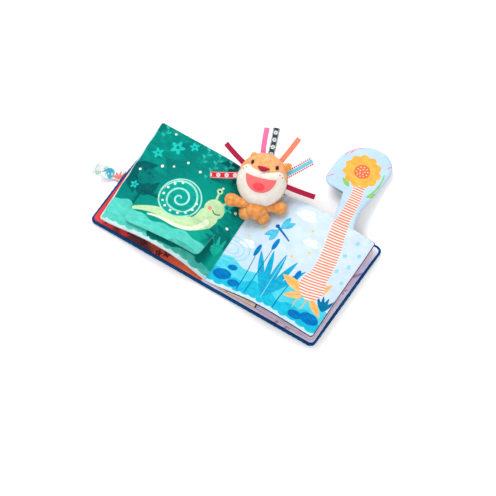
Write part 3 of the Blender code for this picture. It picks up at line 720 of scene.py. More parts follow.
def skyLayers(x, y):
    tone = 0.25 + 0.4 * ease((60 - y) / 150) + 0.12 * np.sin(x / 30)
    clouds = blank(x)
    for cx, cy, size in skyClouds:
        clouds = union(clouds, oval(x, y, cx, cy, size, 0.36 * size, 0))
        clouds = union(clouds, disc(x, y, cx - 0.34 * size, cy + 0.3 * size, 0.36 * size))
        clouds = union(clouds, disc(x, y, cx + 0.26 * size, cy + 0.34 * size, 0.42 * size))
    far = np.hypot(x - 8, 1.5 * (y + 26))
    ripples = union(*[np.abs(far - radius) - 0.9 for radius in rippleSizes])
    rain = union(*[drop(x, y, *spot, 3.4, 80) for spot in rainAt])
    ground = y - (-46 + 5 * np.sin(x / 21 + 1) + 3 * np.sin(x / 9))
    shade = y - (-66 + 4 * np.sin(x / 13 + 2) + 2 * np.sin(x / 5))
    reeds = fan(x, y, 92, -80, (62, 76, 91, 106, 120), 82, 10, 0.55)
    reedU, reedV = turned(x, y, 92, -80, 91)
    stalks = blank(x)
    heads = blank(x)
    for foot, top, height in ((52, 46, -12), (66, 66, 8), (116, 122, -22)):
        stalks = union(stalks, stroke(x, y, bow((foot, -84), (foot, height - 30), (top, height)), 1.8, 1.2))
        heads = union(heads, oval(x, y, top, height, 11, 3.9, 90))
    fx, fy, lean = dragonfly
    wings = blade(x, y, fx, fy, lean + 74, 25, 9.5, 0.6)
    for way in (106, -74, -106):
        wings = union(wings, blade(x, y, fx, fy, lean + way, 25, 9.5, 0.6))
    tail = math.radians(lean)
    back = (fx - 26 * math.cos(tail), fy - 26 * math.sin(tail))
    front = (fx + 7 * math.cos(tail), fy + 7 * math.sin(tail))
    insect = union(stroke(x, y, [front, back], 4.2, 2.2), disc(x, y, *front, 3.4))
    pebbles = union(*[oval(x, y, px, py, size, 0.6 * size, 6) for px, py, size in pebblesAt])
    cracks = (0.4 * x + y) / 5.2
    grass = fan(x, y, 182, -50, (72, 92, 112, 134), 26, 5.5)
    bulb = oval(x, y, 150, -22, 24, 20, 96)
    stalk = stroke(x, y, stemLine, 29, 21)
    stem = union(bulb, stalk)
    leaves = union(blade(x, y, 141, -38, 168, 40, 15, 0.42), blade(x, y, 158, -36, 62, 36, 13, 0.42))
    leaves = union(leaves, blade(x, y, 146, -41, 214, 32, 11, 0.45), blade(x, y, 156, -41, -34, 34, 11, 0.45))
    leafLines = union(
        stroke(x, y, [(139, -37), (108, -30)], 1.4, 0.8), stroke(x, y, [(160, -33), (172, -10)], 1.4, 0.8),
        stroke(x, y, [(143, -43), (124, -55)], 1.2, 0.8), stroke(x, y, [(159, -43), (180, -57)], 1.2, 0.8),
    )
    roots = union(
        stroke(x, y, bow((146, -42), (138, -56), (141, -68)), 2.2, 1.0),
        stroke(x, y, bow((152, -44), (156, -56), (151, -66)), 2.2, 1.0),
    )
    buds = union(*[disc(x, y, *spot) for spot in budsAt])
    return {
        "tone": tone,
        "clouds": clouds,
        "rain": rain,
        "ground": ground,
        "shade": shade,
        "ripples": ripples,
        "reeds": reeds,
        "reedRib": np.maximum(np.abs(reedV) - 0.6, np.maximum(-reedU, reedU - 74)),
        "stalks": stalks,
        "heads": heads,
        "wings": wings,
        "insect": insect,
        "pebbles": pebbles,
        "cracks": cracks,
        "grass": grass,
        "stem": stem,
        "stemBand": stemPhase(x, y),
        "leaves": leaves,
        "leafLines": leafLines,
        "roots": roots,
        "buds": buds,
        "margin": scallop(x, y, -84.0, 4.2, 14.5, 2),
    }


# one striped stem runs from the page up on to the panel
stemLine = bow((150, -6), (150, 30), (141, 58), 6) + bow((141, 58), (134, 82), (133, 106), 5)[1:]
stemLine += bow((133, 106), (132, 134), (124, 158), 5)[1:]


def stemPhase(x, y):
    t = (y + 40) / 4.6
    bend = 0.012 * (x - 128) ** 2 / 4.6
    return t - 0.10 * (x - 128) / 4.6 - bend * 0.3


bloom = {
    "centre": (113.0, 187.0),
    "radius": 30.0,
    "petals": 11,
    "heart": 12.5,
}


def panelLayers(x, y):
    cx, cy = bloom["centre"]
    angle = np.arctan2(y - cy, x - cx)
    far = np.hypot(x - cx, y - cy)
    petals = far - bloom["radius"] * (0.86 + 0.14 * np.abs(np.sin(bloom["petals"] * angle / 2 + 0.4)))
    petalLines = np.abs(np.sin(bloom["petals"] * angle / 2 + 0.4)) * far * 0.35 - 0.55
    petalLines = np.maximum(petalLines, np.maximum(far - 25, 14 - far))
    heart = far - bloom["heart"]
    seeds = blank(x)
    for ring, count in ((4.2, 5), (8.6, 10)):
        for i in range(count):
            a = 2 * math.pi * i / count + ring
            seeds = union(seeds, disc(x, y, cx + ring * math.cos(a), cy + ring * math.sin(a), 1.2))
    pink = union(
        stroke(x, y, bow((81, 207), (84, 219), (96, 224)), 2.2, 1.2),
        stroke(x, y, bow((76, 200), (77, 215), (88, 225)), 1.6, 1.0),
        stroke(x, y, [(144, 214), (149, 222)], 2.0, 1.2),
        stroke(x, y, [(78, 158), (73, 151)], 2.2, 1.2),
    )
    green = stroke(x, y, bow((142, 152), (151, 176), (145, 200)), 3.0, 2.0)
    green = union(green, blade(x, y, 142, 150, 60, 17, 7), blade(x, y, 110, 152, 150, 19, 8))
    return {
        "tone": 0.35 + 0.25 * ease((y - 90) / 140) + 0.0 * x,
        "stem": stroke(x, y, stemLine, 26, 17),
        "stemBand": stemPhase(x, y),
        "green": green,
        "petals": petals,
        "petalLines": petalLines,
        "heart": heart,
        "seeds": seeds,
        "pink": pink,
    }


def printOn(piece, layers):
    points = getPoints(piece) * 1000
    for name, values in layers(points[:, 0], points[:, 1]).items():
        setLayer(piece, name, values)


greenPrint = printedCloth(
    "green_print",
    ((0.0, "#01625F"), (0.3, "#027C75"), (0.6, "#039786"), (1.0, "#14B299")),
    (
        ("deep", "#027F76", "#039184", 1.2),
        ("dark", "#025457", "#036264", 1.0),
        ("mid", "#026C68", "#037A73", 1.0),
        ("vines", "#2CBBAD", "#24AA9D", 0.5),
        ("flowers", "#12B9AC", "#22C9BC", 0.5),
        ("glow", "#12A994", "#22B9A2", 0.5),
        ("hills", "#5FD3C4", "#4BC6B7", 0.8),
        ("paleHills", "#3DB0A2", "#55C2B2", 0.8),
        ("body", "#CBE6B4", "#B4DCA8", 0.5),
        ("belly", "#F0F6DC", "#E2F0CC", 0.8),
        ("shell", "#089488", "#0CA698", 0.5),
        ("curl", "#B0E8D8", "#8FDCCB", 0.4),
        ("spots", "#F7F6DF", "#E8F3D6", 0.4),
        ("cheeks", "#F59A86", "#F0877A", 0.6),
        ("inked", "#0B3F46", "#0B3F46", 0.4),
        ("fireflies", "#F8F8E4", "#EAF6E0", 0.4),
        # painted shadow right of the flap, over every motif but the margin
        ("under", "#016661", "#017069", 3.0),
        ("margin", "#C6E4E4", "#BBDCDD", 0.5),
    ),
)
skyPrint = printedCloth(
    "sky_print",
    ((0.0, "#D6E6F3"), (0.5, "#C9DEF0"), (1.0, "#B4D6EC")),
    (
        ("clouds", "#EEF5FB", "#E2EEF8", 0.6),
        ("rain", "#A6DDEE", "#8FD3E8", 0.5),
        ("ground", "#43CCE3", "#58D3E8", 0.9),
        ("shade", "#12B4D6", "#26C0DE", 0.9),
        ("ripples", "#8EDBE9", "#7AD2E4", 0.4),
        ("reeds", "#109CC8", "#1CB0D4", 0.5),
        ("reedRib", "#8EDBE9", "#7AD2E4", 0.4),
        ("stalks", "#057BA6", "#056698", 0.5),
        ("heads", "#046CB8", "#0484C6", 0.5),
        ("wings", "#5CC6E6", "#3FB4DC", 0.5),
        ("insect", "#0A62AE", "#0A72B8", 0.5),
        ("pebbles", "#046CB8", "#0484C6", 0.5, ("cracks", 0.12, "#0458A6")),
        ("grass", "#057BA6", "#056698", 0.5),
        ("roots", "#F5AE55", "#F2A040", 0.4),
        ("leaves", "#FBC27A", "#F8B460", 0.5),
        ("leafLines", "#F09A4A", "#F09A4A", 0.4),
        ("stem", "#FFF6EC", "#FCEBDD", 0.5, ("stemBand", 0.50, "#F0806E")),
        ("buds", "#F7C65A", "#FBD98A", 0.4),
        ("margin", "#C8E6F0", "#BCDFEB", 0.5),
    ),
)
panelPrint = printedCloth(
    "panel_print",
    ((0.0, "#C9E0F2"), (0.5, "#BCD9F0"), (1.0, "#D3E6F4")),
    (
        ("stem", "#FFF6EC", "#FCEBDD", 0.5, ("stemBand", 0.56, "#F0806E")),
        ("green", "#7CC36B", "#93CF76", 0.5),
        ("petals", "#F8BE55", "#F6AC45", 0.5),
        ("petalLines", "#EE8740", "#EE8740", 0.4),
        ("heart", "#EE7A55", "#E66A4C", 0.5),
        ("seeds", "#FCE3A8", "#FCE3A8", 0.4),
        ("pink", "#F58FA6", "#F27F98", 0.4),
    ),
    crinkleDepth=0.0008,
)
mintCloth = plainCloth("mint_cloth", "#9FDCCB", "#8AD0BE")
paleCloth = plainCloth("pale_cloth", "#C7DDED", "#BCD6EA")
pinkishCloth = plainCloth("leaf_underside", "#F1DEE0", "#EBD3D6")
maroonCloth = plainCloth("maroon_cloth", "#7A2340", "#6A1C38")
orangeCloth = plainCloth("orange_cloth", "#F39A4A", "#EE8A3C")
navyCloth = plainCloth("navy_cloth", "#034A82", "#024076", crinkleDepth=0.0004, sheen=0.02)
print("cloth book: prints drawn")


# the three leaves

leaves = {
    "front_leaf": {"side": -1, "height": frontHeight, "seed": 3, "waves": 0.0007, "grow": 0.0},
    "top_leaf": {"side": 1, "height": topHeight, "seed": 21, "waves": 0.0007, "grow": 0.0009},
    "middle_leaf": {"side": 1, "height": middleHeight, "seed": 33, "waves": 0.0004, "grow": 0.0},
}
fineStep = 0.001
plainStep = 0.0028


def creamLayers(x, y):
    # cream near the gutter, lilac beyond it
    tone = 0.5 + 0.5 * ripple(x, y, 38, 61)
    edge = 96 + 7 * np.sin(y / 11)
    lilac = edge - x
    bits = blank(x)
    for i in range(9):
        bits = union(bits, oval(x, y, 12 + 4.6 * i, -85 + 3 * math.sin(i * 1.9), 3.4, 2.4, 37 * i))
    marks = strewn(x, y, 8, 18, (104, 186), (-90, 90), (6, 11), (1.6, 3.0))
    outline = np.minimum(np.abs(lilac) - 1.4, np.abs(y - (-72 + 6 * np.sin(x / 15))) - 1.0)
    outline = np.maximum(outline, x - 99)
    marks = np.maximum(marks, lilac + 3)
    return {"tone": tone, "bits": bits, "outline": outline, "lilac": lilac, "marks": marks}


creamPrint = printedCloth(
    "cream_print",
    ((0.0, "#FFFDF8"), (0.55, "#FFFAEE"), (1.0, "#FFF0CC")),
    (
        ("bits", "#F08A3C", "#E8742E", 0.5), ("lilac", "#E4E0FC", "#DAD2F6", 0.6),
        ("marks", "#C0A4D6", "#AE90C8", 1.0), ("outline", "#3E2230", "#4E2B3A", 0.4),
    ),
)
clothFinish = {
    "front_leaf_upper_cloth": (greenPrint, "green_print", pageLayers),
    "front_leaf_lower_cloth": (pinkishCloth, "mint_cloth", None),
    "top_leaf_upper_cloth": (skyPrint, "sky_print", skyLayers),
    "top_leaf_lower_cloth": (maroonCloth, "maroon_cloth", None),
    "middle_leaf_upper_cloth": (creamPrint, "cream_print", creamLayers),
    "middle_leaf_lower_cloth": (orangeCloth, "orange_print", None),
}
for leaf, facts in leaves.items():
    for layer, up in (("upper", 1), ("lower", -1)):
        node = leaf + "_" + layer + "_cloth"
        fine = up > 0 and leaf != "middle_leaf"
        piece = makeLeafCloth(
            node + "_sewn", facts["side"], facts["height"], up,
            fineStep if fine else plainStep, facts["seed"], facts["waves"],
            facts["grow"] if up < 0 else 0.0,
        )
        material, slot, layers = clothFinish[node]
        if layers:
            printOn(piece, layers)
        dress(piece, material, node, None if leaf == "front_leaf" else leaf)
        if leaf == "front_leaf":
            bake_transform(piece)
print("cloth book: leaves sewn")


# the lift flap on the green page

def flapPlace(s, t):
    # s across from the left end, t out from the hinge
    x = lerp(flapSize["left"], flapSize["right"], s)
    nearSide = np.minimum(x - flapSize["left"], flapSize["right"] - x)
    reach = flapSize["out"] - roundIn(nearSide, flapSize["corner"])
    out = reach * t
    along = (x - flapSize["left"]) / (flapSize["right"] - flapSize["left"])
    lift = lerp(0.0015, flapSize["lift"], along ** 1.5)
    angle = np.arcsin(lift / flapSize["out"])
    r = -x
    share = flapSize["hinge"] / leafSize["length"] + 0.5
    foot = frontHeight(r, share) + 0.0031 + 0.0008
    y = flapSize["hinge"] - out * np.cos(angle)
    return x, y, foot + out * np.sin(angle), out, np.minimum(nearSide, reach - out)


def makeFlapCloth(name, up):
    piece = newGrid(name, 132, 56)
    s, t = gridPlaces(piece)
    t = 1 - t
    endRound = 0.5 - 0.5 * np.cos(math.pi * s)
    s = lerp(s, endRound, 0.35)
    x, y, z, out, edge = flapPlace(s, t)
    inside = np.maximum(np.minimum(edge, out + 0.002), 0)
    puff = 0.0006 + 0.0014 * (1 - np.exp(-inside / 0.005))
    gather = 0.00025 * np.exp(-inside / 0.005) * np.sin((x + y) * 2 * math.pi / 0.0075)
    middle = z + 0.0019 + 0.0005 * ripple(x, y, 0.040, 8) * ease(inside / 0.012)
    return finishSheet(piece, x, y, middle + gather + up * puff, up=up)


for layer, up, material, slot in (
    ("upper", 1, greenPrint, "green_print"),
    ("lower", -1, mintCloth, "mint_cloth"),
):
    piece = makeFlapCloth("flap_" + layer + "_sewn", up)
    if up > 0:
        printOn(piece, flapLayers)
    dress(piece, material, "flap_" + layer + "_cloth")
    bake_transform(piece)
print("cloth book: flap sewn")


# the panel that folds out over the top of the sky page

panelSize = {
    "base": 0.0922,
    "foot": 0.0893,          # the cloth is sewn over the leaf's edge
    "top": 0.2325,
    "edgeRound": 0.0045,
}


def panelEdges(y):
    a = np.clip((y - 0.182) / 0.0505, 0, 1)
    left = np.where(
        y < 0.139, lerp(0.120, 0.107, (y - 0.091) / 0.048),
        np.where(y < 0.182, 0.069 + roundIn(y - 0.139, 0.016), 0.117 - 0.048 * np.sqrt(1 - a * a)),
    )
    b = np.clip((y - 0.203) / 0.0295, 0, 1)
    f = np.clip((0.126 - y) / 0.035, 0, 1)
    right = np.where(
        y < 0.126, lerp(0.1473, 0.154, f ** 2),
        np.where(y < 0.203, lerp(0.1473, 0.152, (y - 0.126) / 0.077), 0.125 + 0.027 * np.sqrt(1 - b * b)),
    )
    return left, right


def panelOutline(count):
    # the outline as one closed line of points, evenly spaced
    ys = np.concatenate([
        np.linspace(panelSize["base"], 0.1388, 40),
        0.139 + 0.016 * (1 - np.cos(np.linspace(0, math.pi / 2, 24))),
        np.linspace(0.157, 0.182, 16),
        0.182 + 0.0505 * np.sin(np.linspace(0.02, math.pi / 2, 60)),
    ])
    left = panelEdges(ys)[0]
    up = np.column_stack([left, ys])
    ysRight = np.concatenate([
        0.203 + 0.0295 * np.sin(np.linspace(math.pi / 2, 0.02, 50)),
        np.linspace(0.202, panelSize["base"], 60),
    ])
    down = np.column_stack([panelEdges(ysRight)[1], ysRight])
    line = np.vstack([up, down, up[:1]])
    for turn in range(6):
        inner = line.copy()
        inner[1:-1] = 0.25 * line[:-2] + 0.5 * line[1:-1] + 0.25 * line[2:]
        line = np.where((line[:, 1] > 0.096)[:, None], inner, line)
    return spaced(line, count)


def distanceTo(line, x, y):
    # distance from many points to a closed line
    best = blank(x)
    for (ax, ay), (bx, by) in zip(line, np.roll(line, -1, axis=0)):
        dx, dy = bx - ax, by - ay
        t = np.clip(((x - ax) * dx + (y - ay) * dy) / (dx * dx + dy * dy + 1e-12), 0, 1)
        best = np.minimum(best, np.hypot(x - ax - t * dx, y - ay - t * dy))
    return best


def makePanelCloth(name, up):
    piece = newGrid(name, 84, 140)
    s, t = gridPlaces(piece)
    top = panelSize["top"]
    upper = 0.55
    turn = math.pi / 2 * np.clip((t - upper) / (1 - upper), 0, 1)
    start = lerp(panelSize["foot"] if up > 0 else panelSize["base"], 0.182, np.clip(t / upper, 0, 1))
    y = np.where(t < upper, start, 0.182 + (top - 0.182) * np.sin(turn))
    left, right = panelEdges(y)
    # a chord across the round top, evenly filled
    x = lerp(left, right, lerp(s, 0.5 - 0.5 * np.cos(math.pi * s), 0.4))
    line = panelOutline(220)
    inside = distanceTo(line, x, y)
    rim = np.clip(inside / panelSize["edgeRound"], 0, 1)
    rim = np.maximum(rim, ease((0.0975 - y) / 0.004) * np.clip(np.minimum(x - left, right - x) / 0.003, 0, 1))
    puff = 0.0002 + 0.0033 * np.sqrt(1 - (1 - rim) ** 2) + 0.0011 * (1 - np.exp(-inside / 0.016))
    base = lerp(0.0320, 0.0105, ease((y - panelSize["base"]) / 0.110))
    if up > 0:
        onLeaf = topHeight(x) + 0.0022 - puff
        base = lerp(onLeaf, base, ease((y - panelSize["foot"]) / 0.008))
    sway = 0.0006 * ripple(x, y, 0.05, 14) * ease(inside / 0.01)
    gather = 0.0003 * np.exp(-inside / 0.005) * np.sin((x - 1.3 * y) * 2 * math.pi / 0.0085)
    lumps = up * 0.00022 * ripple(x, y, 0.016, 17) * ease(inside / 0.006)
    return finishSheet(piece, x, y, base + up * puff + sway + gather + lumps, up=up, angle=80)


for layer, up, material, slot in (
    ("upper", 1, panelPrint, "sky_print"),
    ("lower", -1, paleCloth, "mint_cloth"),
):
    piece = makePanelCloth("neck_panel_" + layer + "_sewn", up)
    if up > 0:
        printOn(piece, panelLayers)
    dress(piece, material, "neck_panel_" + layer + "_cloth")
    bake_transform(piece)
print("cloth book: panel sewn")


# crinkle film inside the flap and the panel, which bends with them

filmLook = {"colour": "#E6ECEE", "roughness": 0.22, "crease": 0.006, "thickness": 0.00015}


def filmMaterial():
    material, tree, shader = newMaterial("crinkle_film")
    place = objectPlace(tree)
    creases = noise(tree, place, filmLook["crease"], 3.0, 0.5, 1.2)
    # painted shade: darker where the crease bump is low
    creaseShade = fade(tree, creases, 0.3, 0.7, 0.85, 1.0)
    put(tree, shader.inputs["Base Color"], mixColour(tree, 1.0, linear(filmLook["colour"]), creaseShade, "MULTIPLY"))
    shader.inputs["Roughness"].default_value = filmLook["roughness"]
    put(tree, shader.inputs["Normal"], bump(tree, creases, 0.0012, 0.8))
    return material


film = filmMaterial()


def makeFlapFilm():
    piece = newGrid("flap_film_sheet", 60, 24)
    s, t = gridPlaces(piece)
    x, y, z, out, edge = flapPlace(lerp(0.035, 0.965, s), lerp(0.90, 0.06, t))
    setPoints(piece, np.column_stack([x, y, z + 0.0020 + 0.00012 * ripple(x, y, 0.008, 4)]))
    addThickness(piece, filmLook["thickness"])
    return piece


def makePanelFilm():
    piece = newGrid("neck_panel_film_sheet", 30, 60)
    s, t = gridPlaces(piece)
    y = lerp(panelSize["base"] + 0.004, panelSize["top"] - 0.009, t)
    left, right = panelEdges(y)
    x = lerp(left + 0.005, right - 0.005, s)
    base = lerp(0.0320, 0.0105, ease((y - panelSize["base"]) / 0.110))
    setPoints(piece, np.column_stack([x, y, base + 0.00012 * ripple(x, y, 0.008, 6)]))
    addThickness(piece, filmLook["thickness"])
    return piece


piece = makeFlapFilm()
dress(piece, film, "flap_crinkle_film")
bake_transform(piece)
piece = makePanelFilm()
dress(piece, film, "neck_panel_crinkle_film")
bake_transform(piece)


# covers: navy outside, printed lining inside a soft rolled rim

coverSize = {
    "reach": 0.200,
    "half": 0.0975,
    "skew": 0.0045,
    "corner": 0.009,
    "innerCorner": 0.004,
    "inner": 0.0133,
    "band": 0.0044,
    "outerBand": 0.0015,
    "drawIn": 0.0032,
}


def skewAt(x, y):
    # the covers lean a little out of square
    return coverSize["skew"] * y / coverSize["half"] * np.abs(x) / coverSize["reach"]


def drawnIn(x, y):
    # the front cover's outer edge is drawn in towards its upper corner
    return coverSize["drawIn"] * ease((y + 0.03) / 0.10) * ease((-x - 0.1) / 0.09)


def coverLine(side, count):
    # outline of one cover, round at its corners, evenly spaced points
    reach, half, inner = coverSize["reach"], coverSize["half"], coverSize["inner"]
    corners = (
        (reach, half, coverSize["corner"], 0), (inner, half, coverSize["innerCorner"], 90),
        (inner, -half, coverSize["innerCorner"], 180), (reach, -half, coverSize["corner"], 270),
    )
    line = []
    for cx, cy, corner, start in corners:
        turn = np.radians(np.linspace(start, start + 90, 13))
        towardX = 1 if cx == inner else -1
        towardY = 1 if cy < 0 else -1
        line.append(np.column_stack([
            cx + towardX * corner + corner * np.cos(turn),
            cy + towardY * corner + corner * np.sin(turn),
        ]))
    line = np.vstack(line)
    line = spaced(np.vstack([line, line[:1]]), count)
    line[:, 0] *= side
    line[:, 0] += skewAt(line[:, 0], line[:, 1])
    if side < 0:
        line[:, 0] += drawnIn(line[:, 0], line[:, 1])
    return line


def ballPlaces(piece):
    # turn round the ball, 0 to 1, and height from the bottom pole, 0 to 1
    points = getPoints(piece)
    around = (np.arctan2(points[:, 1], points[:, 0]) / (2 * math.pi)) % 1
    upward = np.arccos(np.clip(-points[:, 2], -1, 1)) / math.pi
    return around, upward


# from the middle of the underside, round the edge, to the middle of the inside
rimProfile = (
    (0.00, 40.0, 0.25), (0.10, 16.0, 0.20), (0.22, 6.0, 0.15), (0.32, 2.6, 0.35), (0.40, 0.9, 1.3),
    (0.48, 0.05, 3.1), (0.55, 0.25, 4.9), (0.62, 1.2, 6.5), (0.69, 2.6, 7.25), (0.75, 3.7, 7.0),
    (0.82, 4.6, 6.2), (0.90, 9.0, 6.0), (1.00, 40.0, 6.0),
)


def makeCoverShell(name, side):
    piece = newBall(name, 420, 44)
    around, upward = ballPlaces(piece)
    line = coverLine(side, 420)
    index = around * 420
    low = np.floor(index + 1e-6).astype(int) % 420
    edge = line[low]
    keys = np.array(rimProfile)
    inset = np.interp(upward, keys[:, 0], keys[:, 1]) * mm
    z = np.interp(upward, keys[:, 0], keys[:, 2]) * mm
    # inward from the edge by shrinking towards the cover's long middle line
    centre = np.column_stack([
        np.clip(edge[:, 0], min(side * 0.06, side * 0.15), max(side * 0.06, side * 0.15)),
        np.clip(edge[:, 1], -0.045, 0.045),
    ])
    toward = centre - edge
    length = np.hypot(toward[:, 0], toward[:, 1])
    share = np.clip(inset / length, 0, 1)
    pole = (upward < 1e-6) | (upward > 1 - 1e-6)
    points = edge + toward * np.where(inset > 0.03, 1.0, share)[:, None]
    points[pole] = (side * 0.105, 0)
    pucker = 0.00022 * np.sin(low * 2 * math.pi / 5.0) * np.exp(-((upward - 0.6) / 0.16) ** 2)
    points += toward / length[:, None] * pucker[:, None]
    sag = 0.0003 * ripple(points[:, 0], points[:, 1], 0.06, 9) * np.exp(-((upward - 0.66) / 0.1) ** 2)
    z = np.where(z < 0.0004, z, z + sag + 0.5 * pucker)
    # the rim runs out flat towards the spine
    z = np.minimum(z, lerp(0.0060, 0.0085, ease((np.abs(edge[:, 0]) - 0.0150) / 0.014)))
    return finishRound(piece, np.column_stack([points, z]))


def makeLining(name, side, columns=124, rows=120):
    piece = newGrid(name, columns, rows)
    s, t = gridPlaces(piece)
    if side < 0:
        s = 1 - s
    top = coverSize["half"] - coverSize["band"]
    outer = coverSize["reach"] - coverSize["outerBand"]
    inner = coverSize["inner"] + coverSize["band"] - 0.0012
    y = (2 * t - 1) * top
    x = lerp(inner, outer, s)
    # ease the outer corners in, so that the lining follows the round rim
    cornerIn = roundIn(top - np.abs(y), coverSize["corner"] - coverSize["band"] * 0.4)
    x = lerp(x, x - cornerIn, ease((x - 0.15) / (outer - 0.15)))
    inside = np.minimum(top - np.abs(y), outer - cornerIn - x)
    inside = np.maximum(np.minimum(inside, x - inner), 0)
    x = side * x + skewAt(x, y)
    if side < 0:
        x += drawnIn(x, y)
    puff = 0.0010 * (1 - np.exp(-inside / 0.005))
    z = 0.0064 + puff + 0.00022 * ripple(x, y, 0.02, 7) * ease(inside / 0.01)
    return finishSheet(piece, x, y, z)


def frontLiningLayers(x, y):
    tone = np.clip((x + 196) / 180 + 0.10 * ripple(x, y, 30, 12), 0, 1)
    flowers = blank(x)
    for i in range(16):
        cx = -182 + 23 * (i % 8) + 6 * math.sin(i * 2.1)
        cy = -84 + 5 * math.sin(i * 1.3) + 150 * (i // 8)
        angle = np.arctan2(y - cy, x - cx)
        flowers = union(flowers, np.hypot(x - cx, y - cy) - 6.5 * (0.72 + 0.28 * np.cos(5 * angle + i)))
    return {"tone": tone, "flowers": flowers, "hearts": flowers + 4.2}


def lilacLayers(x, y):
    marks = strewn(x, y, 4, 34, (8, 196), (-95, 95), (6, 12), (1.6, 3.2))
    return {"tone": 0.5 + 0.4 * ripple(x, y, 44, 5), "marks": marks}


redLining = printedCloth(
    "red_lining",
    (
        (0.0, "#E5484A"), (0.16, "#DF4648"), (0.27, "#6E3A3C"),
        (0.50, "#5C3A42"), (0.66, "#D9583F"), (1.0, "#F27A52"),
    ),
    (("flowers", "#4B2226", "#6E2C2C", 0.9), ("hearts", "#E9824C", "#DE6A45", 0.7)),
)
lilacTones = ((0.0, "#EAE8FF"), (0.5, "#E2DEFF"), (1.0, "#DAD2FC"))
lilacMarks = ("marks", "#C9AEDF", "#B294CC", 1.2)
lilacLining = printedCloth("lilac_lining", lilacTones, (lilacMarks,))
for cover, side, material, slot, layers in (
    ("front_cover", -1, redLining, "red_lining", frontLiningLayers),
    ("back_cover", 1, lilacLining, "lilac_lining", lilacLayers),
):
    piece = makeCoverShell(cover + "_padded", side)
    dress(piece, navyCloth, cover + "_shell", cover)
    piece = makeLining(cover + "_lining_cloth", side)
    printOn(piece, layers)
    dress(piece, material, cover + "_lining", cover)


# spine: one strip of the same cloth

spineSize = {
    "half": 0.0127,
    "tuck": 0.0085,          # how far the strip runs on inside each cover
    "top": 0.0068,
    "length": 0.0973,
}


def makeSpineStrip(name, low, high, halfLength, halfWidth, roll):
    # a flat strip with a rolled edge and square ends
    piece = newBall(name, 160, 40)
    points = getPoints(piece)
    flat = np.maximum(np.abs(points[:, 0]), np.abs(points[:, 1]))
    square = points[:, :2] / np.maximum(flat, 1e-9)[:, None]
    upward = np.arccos(np.clip(-points[:, 2], -1, 1)) / math.pi
    inset = roll * (1 - np.sin(math.pi * upward))
    spread = np.clip(np.sin(math.pi * upward) * 1.9, 0, 1) ** 0.8
    x = square[:, 0] * np.maximum(halfWidth - inset, 0) * spread
    y = square[:, 1] * np.maximum(halfLength - inset, 0) * spread
    z = lerp(low, high, ease((upward - 0.25) / 0.45))
    z += 0.0002 * ripple(x, y, 0.02, 2) * (upward > 0.6)
    return finishRound(piece, np.column_stack([x, y, z]))


def spineLayers(x, y):
    # the red lining's cloth runs on over the spine to the gutter
    layers = lilacLayers(x, y)
    layers["coral"] = x + 4.5 + 0.8 * np.sin(y / 3.0)
    return layers


spineLining = printedCloth("spine_print", lilacTones, (lilacMarks, ("coral", "#F27A52", "#E46A48", 0.6)))
stripHalf = spineSize["half"] + spineSize["tuck"]
piece = makeSpineStrip("spine_strip", 0.0003, spineSize["top"], spineSize["length"], stripHalf, 0.0020)
dress(piece, navyCloth, "spine_shell")
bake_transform(piece)
piece = makeSpineStrip("spine_lining_strip", 0.0040, 0.0081, 0.0934, 0.0222, 0.0015)
printOn(piece, spineLayers)
dress(piece, spineLining, "spine_lining")
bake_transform(piece)


def makeGutterSeam():
    # the bound roll that holds the leaves
    piece = newBall("gutter_roll", 64, 180)
    points = getPoints(piece)
    y = 0.0900 * np.sign(points[:, 2]) * np.abs(points[:, 2]) ** 0.6
    ring = np.hypot(points[:, 0], points[:, 1])
    swell = np.clip(ring, 0, 1) ** 0.35 * (1 + 0.04 * np.sin(y * 2 * math.pi / 0.0035))
    angle = np.arctan2(points[:, 1], points[:, 0])
    x = 0.0018 * swell * np.cos(angle)
    z = 0.0084 + 0.0018 * swell * np.sin(angle)
    return finishRound(piece, np.column_stack([x, y, z]))


piece = makeGutterSeam()
dress(piece, mintCloth, "gutter_seam", "back_cover")
print("cloth book: covers and spine made")


# printed tape tab on the front cover's edge

def tabLayers(s, t):
    along, across = s * 42, (t - 0.5) * 20
    blue = fan(along, across, 22, 9, (-130, -104, -78, -52), 15, 4.2)
    blue = union(blue, fan(along, across, 16, -10, (48, 76, 104, 130), 11, 3.2))
    pink = fan(along, across, 2, -9, (22, 48, 74, 98), 16, 3.4)
    pink = union(pink, disc(along, across, 30, 4, 1.1), disc(along, across, 33.5, -2.5, 0.9))
    sprigs = fan(along, across, 36, -10, (60, 88, 116), 9, 3.0)
    sprigs = union(sprigs, fan(along, across, 28, 10, (-112, -84, -60), 8, 2.6), 41.0 - along)
    return {"tone": 0.3 + 0 * s, "sprigs": sprigs, "blue": blue, "pink": pink}


tapePrint = printedCloth(
    "printed_tape",
    ((0.0, "#F1F5F5"), (1.0, "#E9EFEF")),
    (
        ("sprigs", "#A9DCC4", "#BFE6CF", 0.3),
        ("blue", "#4DB9D0", "#3AA6C6", 0.3),
        ("pink", "#F28A86", "#EE7476", 0.3),
    ),
    crinkleDepth=0.0002, sheen=0.1,
)


def makeTab():
    piece = newGrid("edge_tab_tape", 96, 44)
    s, t = gridPlaces(piece)
    s = 1 - s
    across = (t - 0.5) * 0.020
    bend = math.radians(22) * ease(2 * s)
    edge = 0.0045 * (-0.0075 + across) / 0.0975 - 0.200
    x = edge - 0.0003 - 0.042 * s * np.cos(bend) - 0.3 * across * bend
    y = -0.0075 - 0.042 * s * np.sin(bend) + across
    z = 0.0020 + 0.016 * s ** 2
    setPoints(piece, np.column_stack([x, y, z + 0.0024]))
    for name, values in tabLayers(s, t).items():
        setLayer(piece, name, values)
    addThickness(piece, 0.0022)
    corner = math.radians(50)
    applyModifier(piece, "BEVEL", width=0.0005, segments=2, limit_method="ANGLE", angle_limit=corner)
    smooth(piece, 50)
    return piece


piece = makeTab()
dress(piece, tapePrint, "edge_tab")
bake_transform(piece)


# soft toy: head of three plush pieces, face, ears, body and limbs

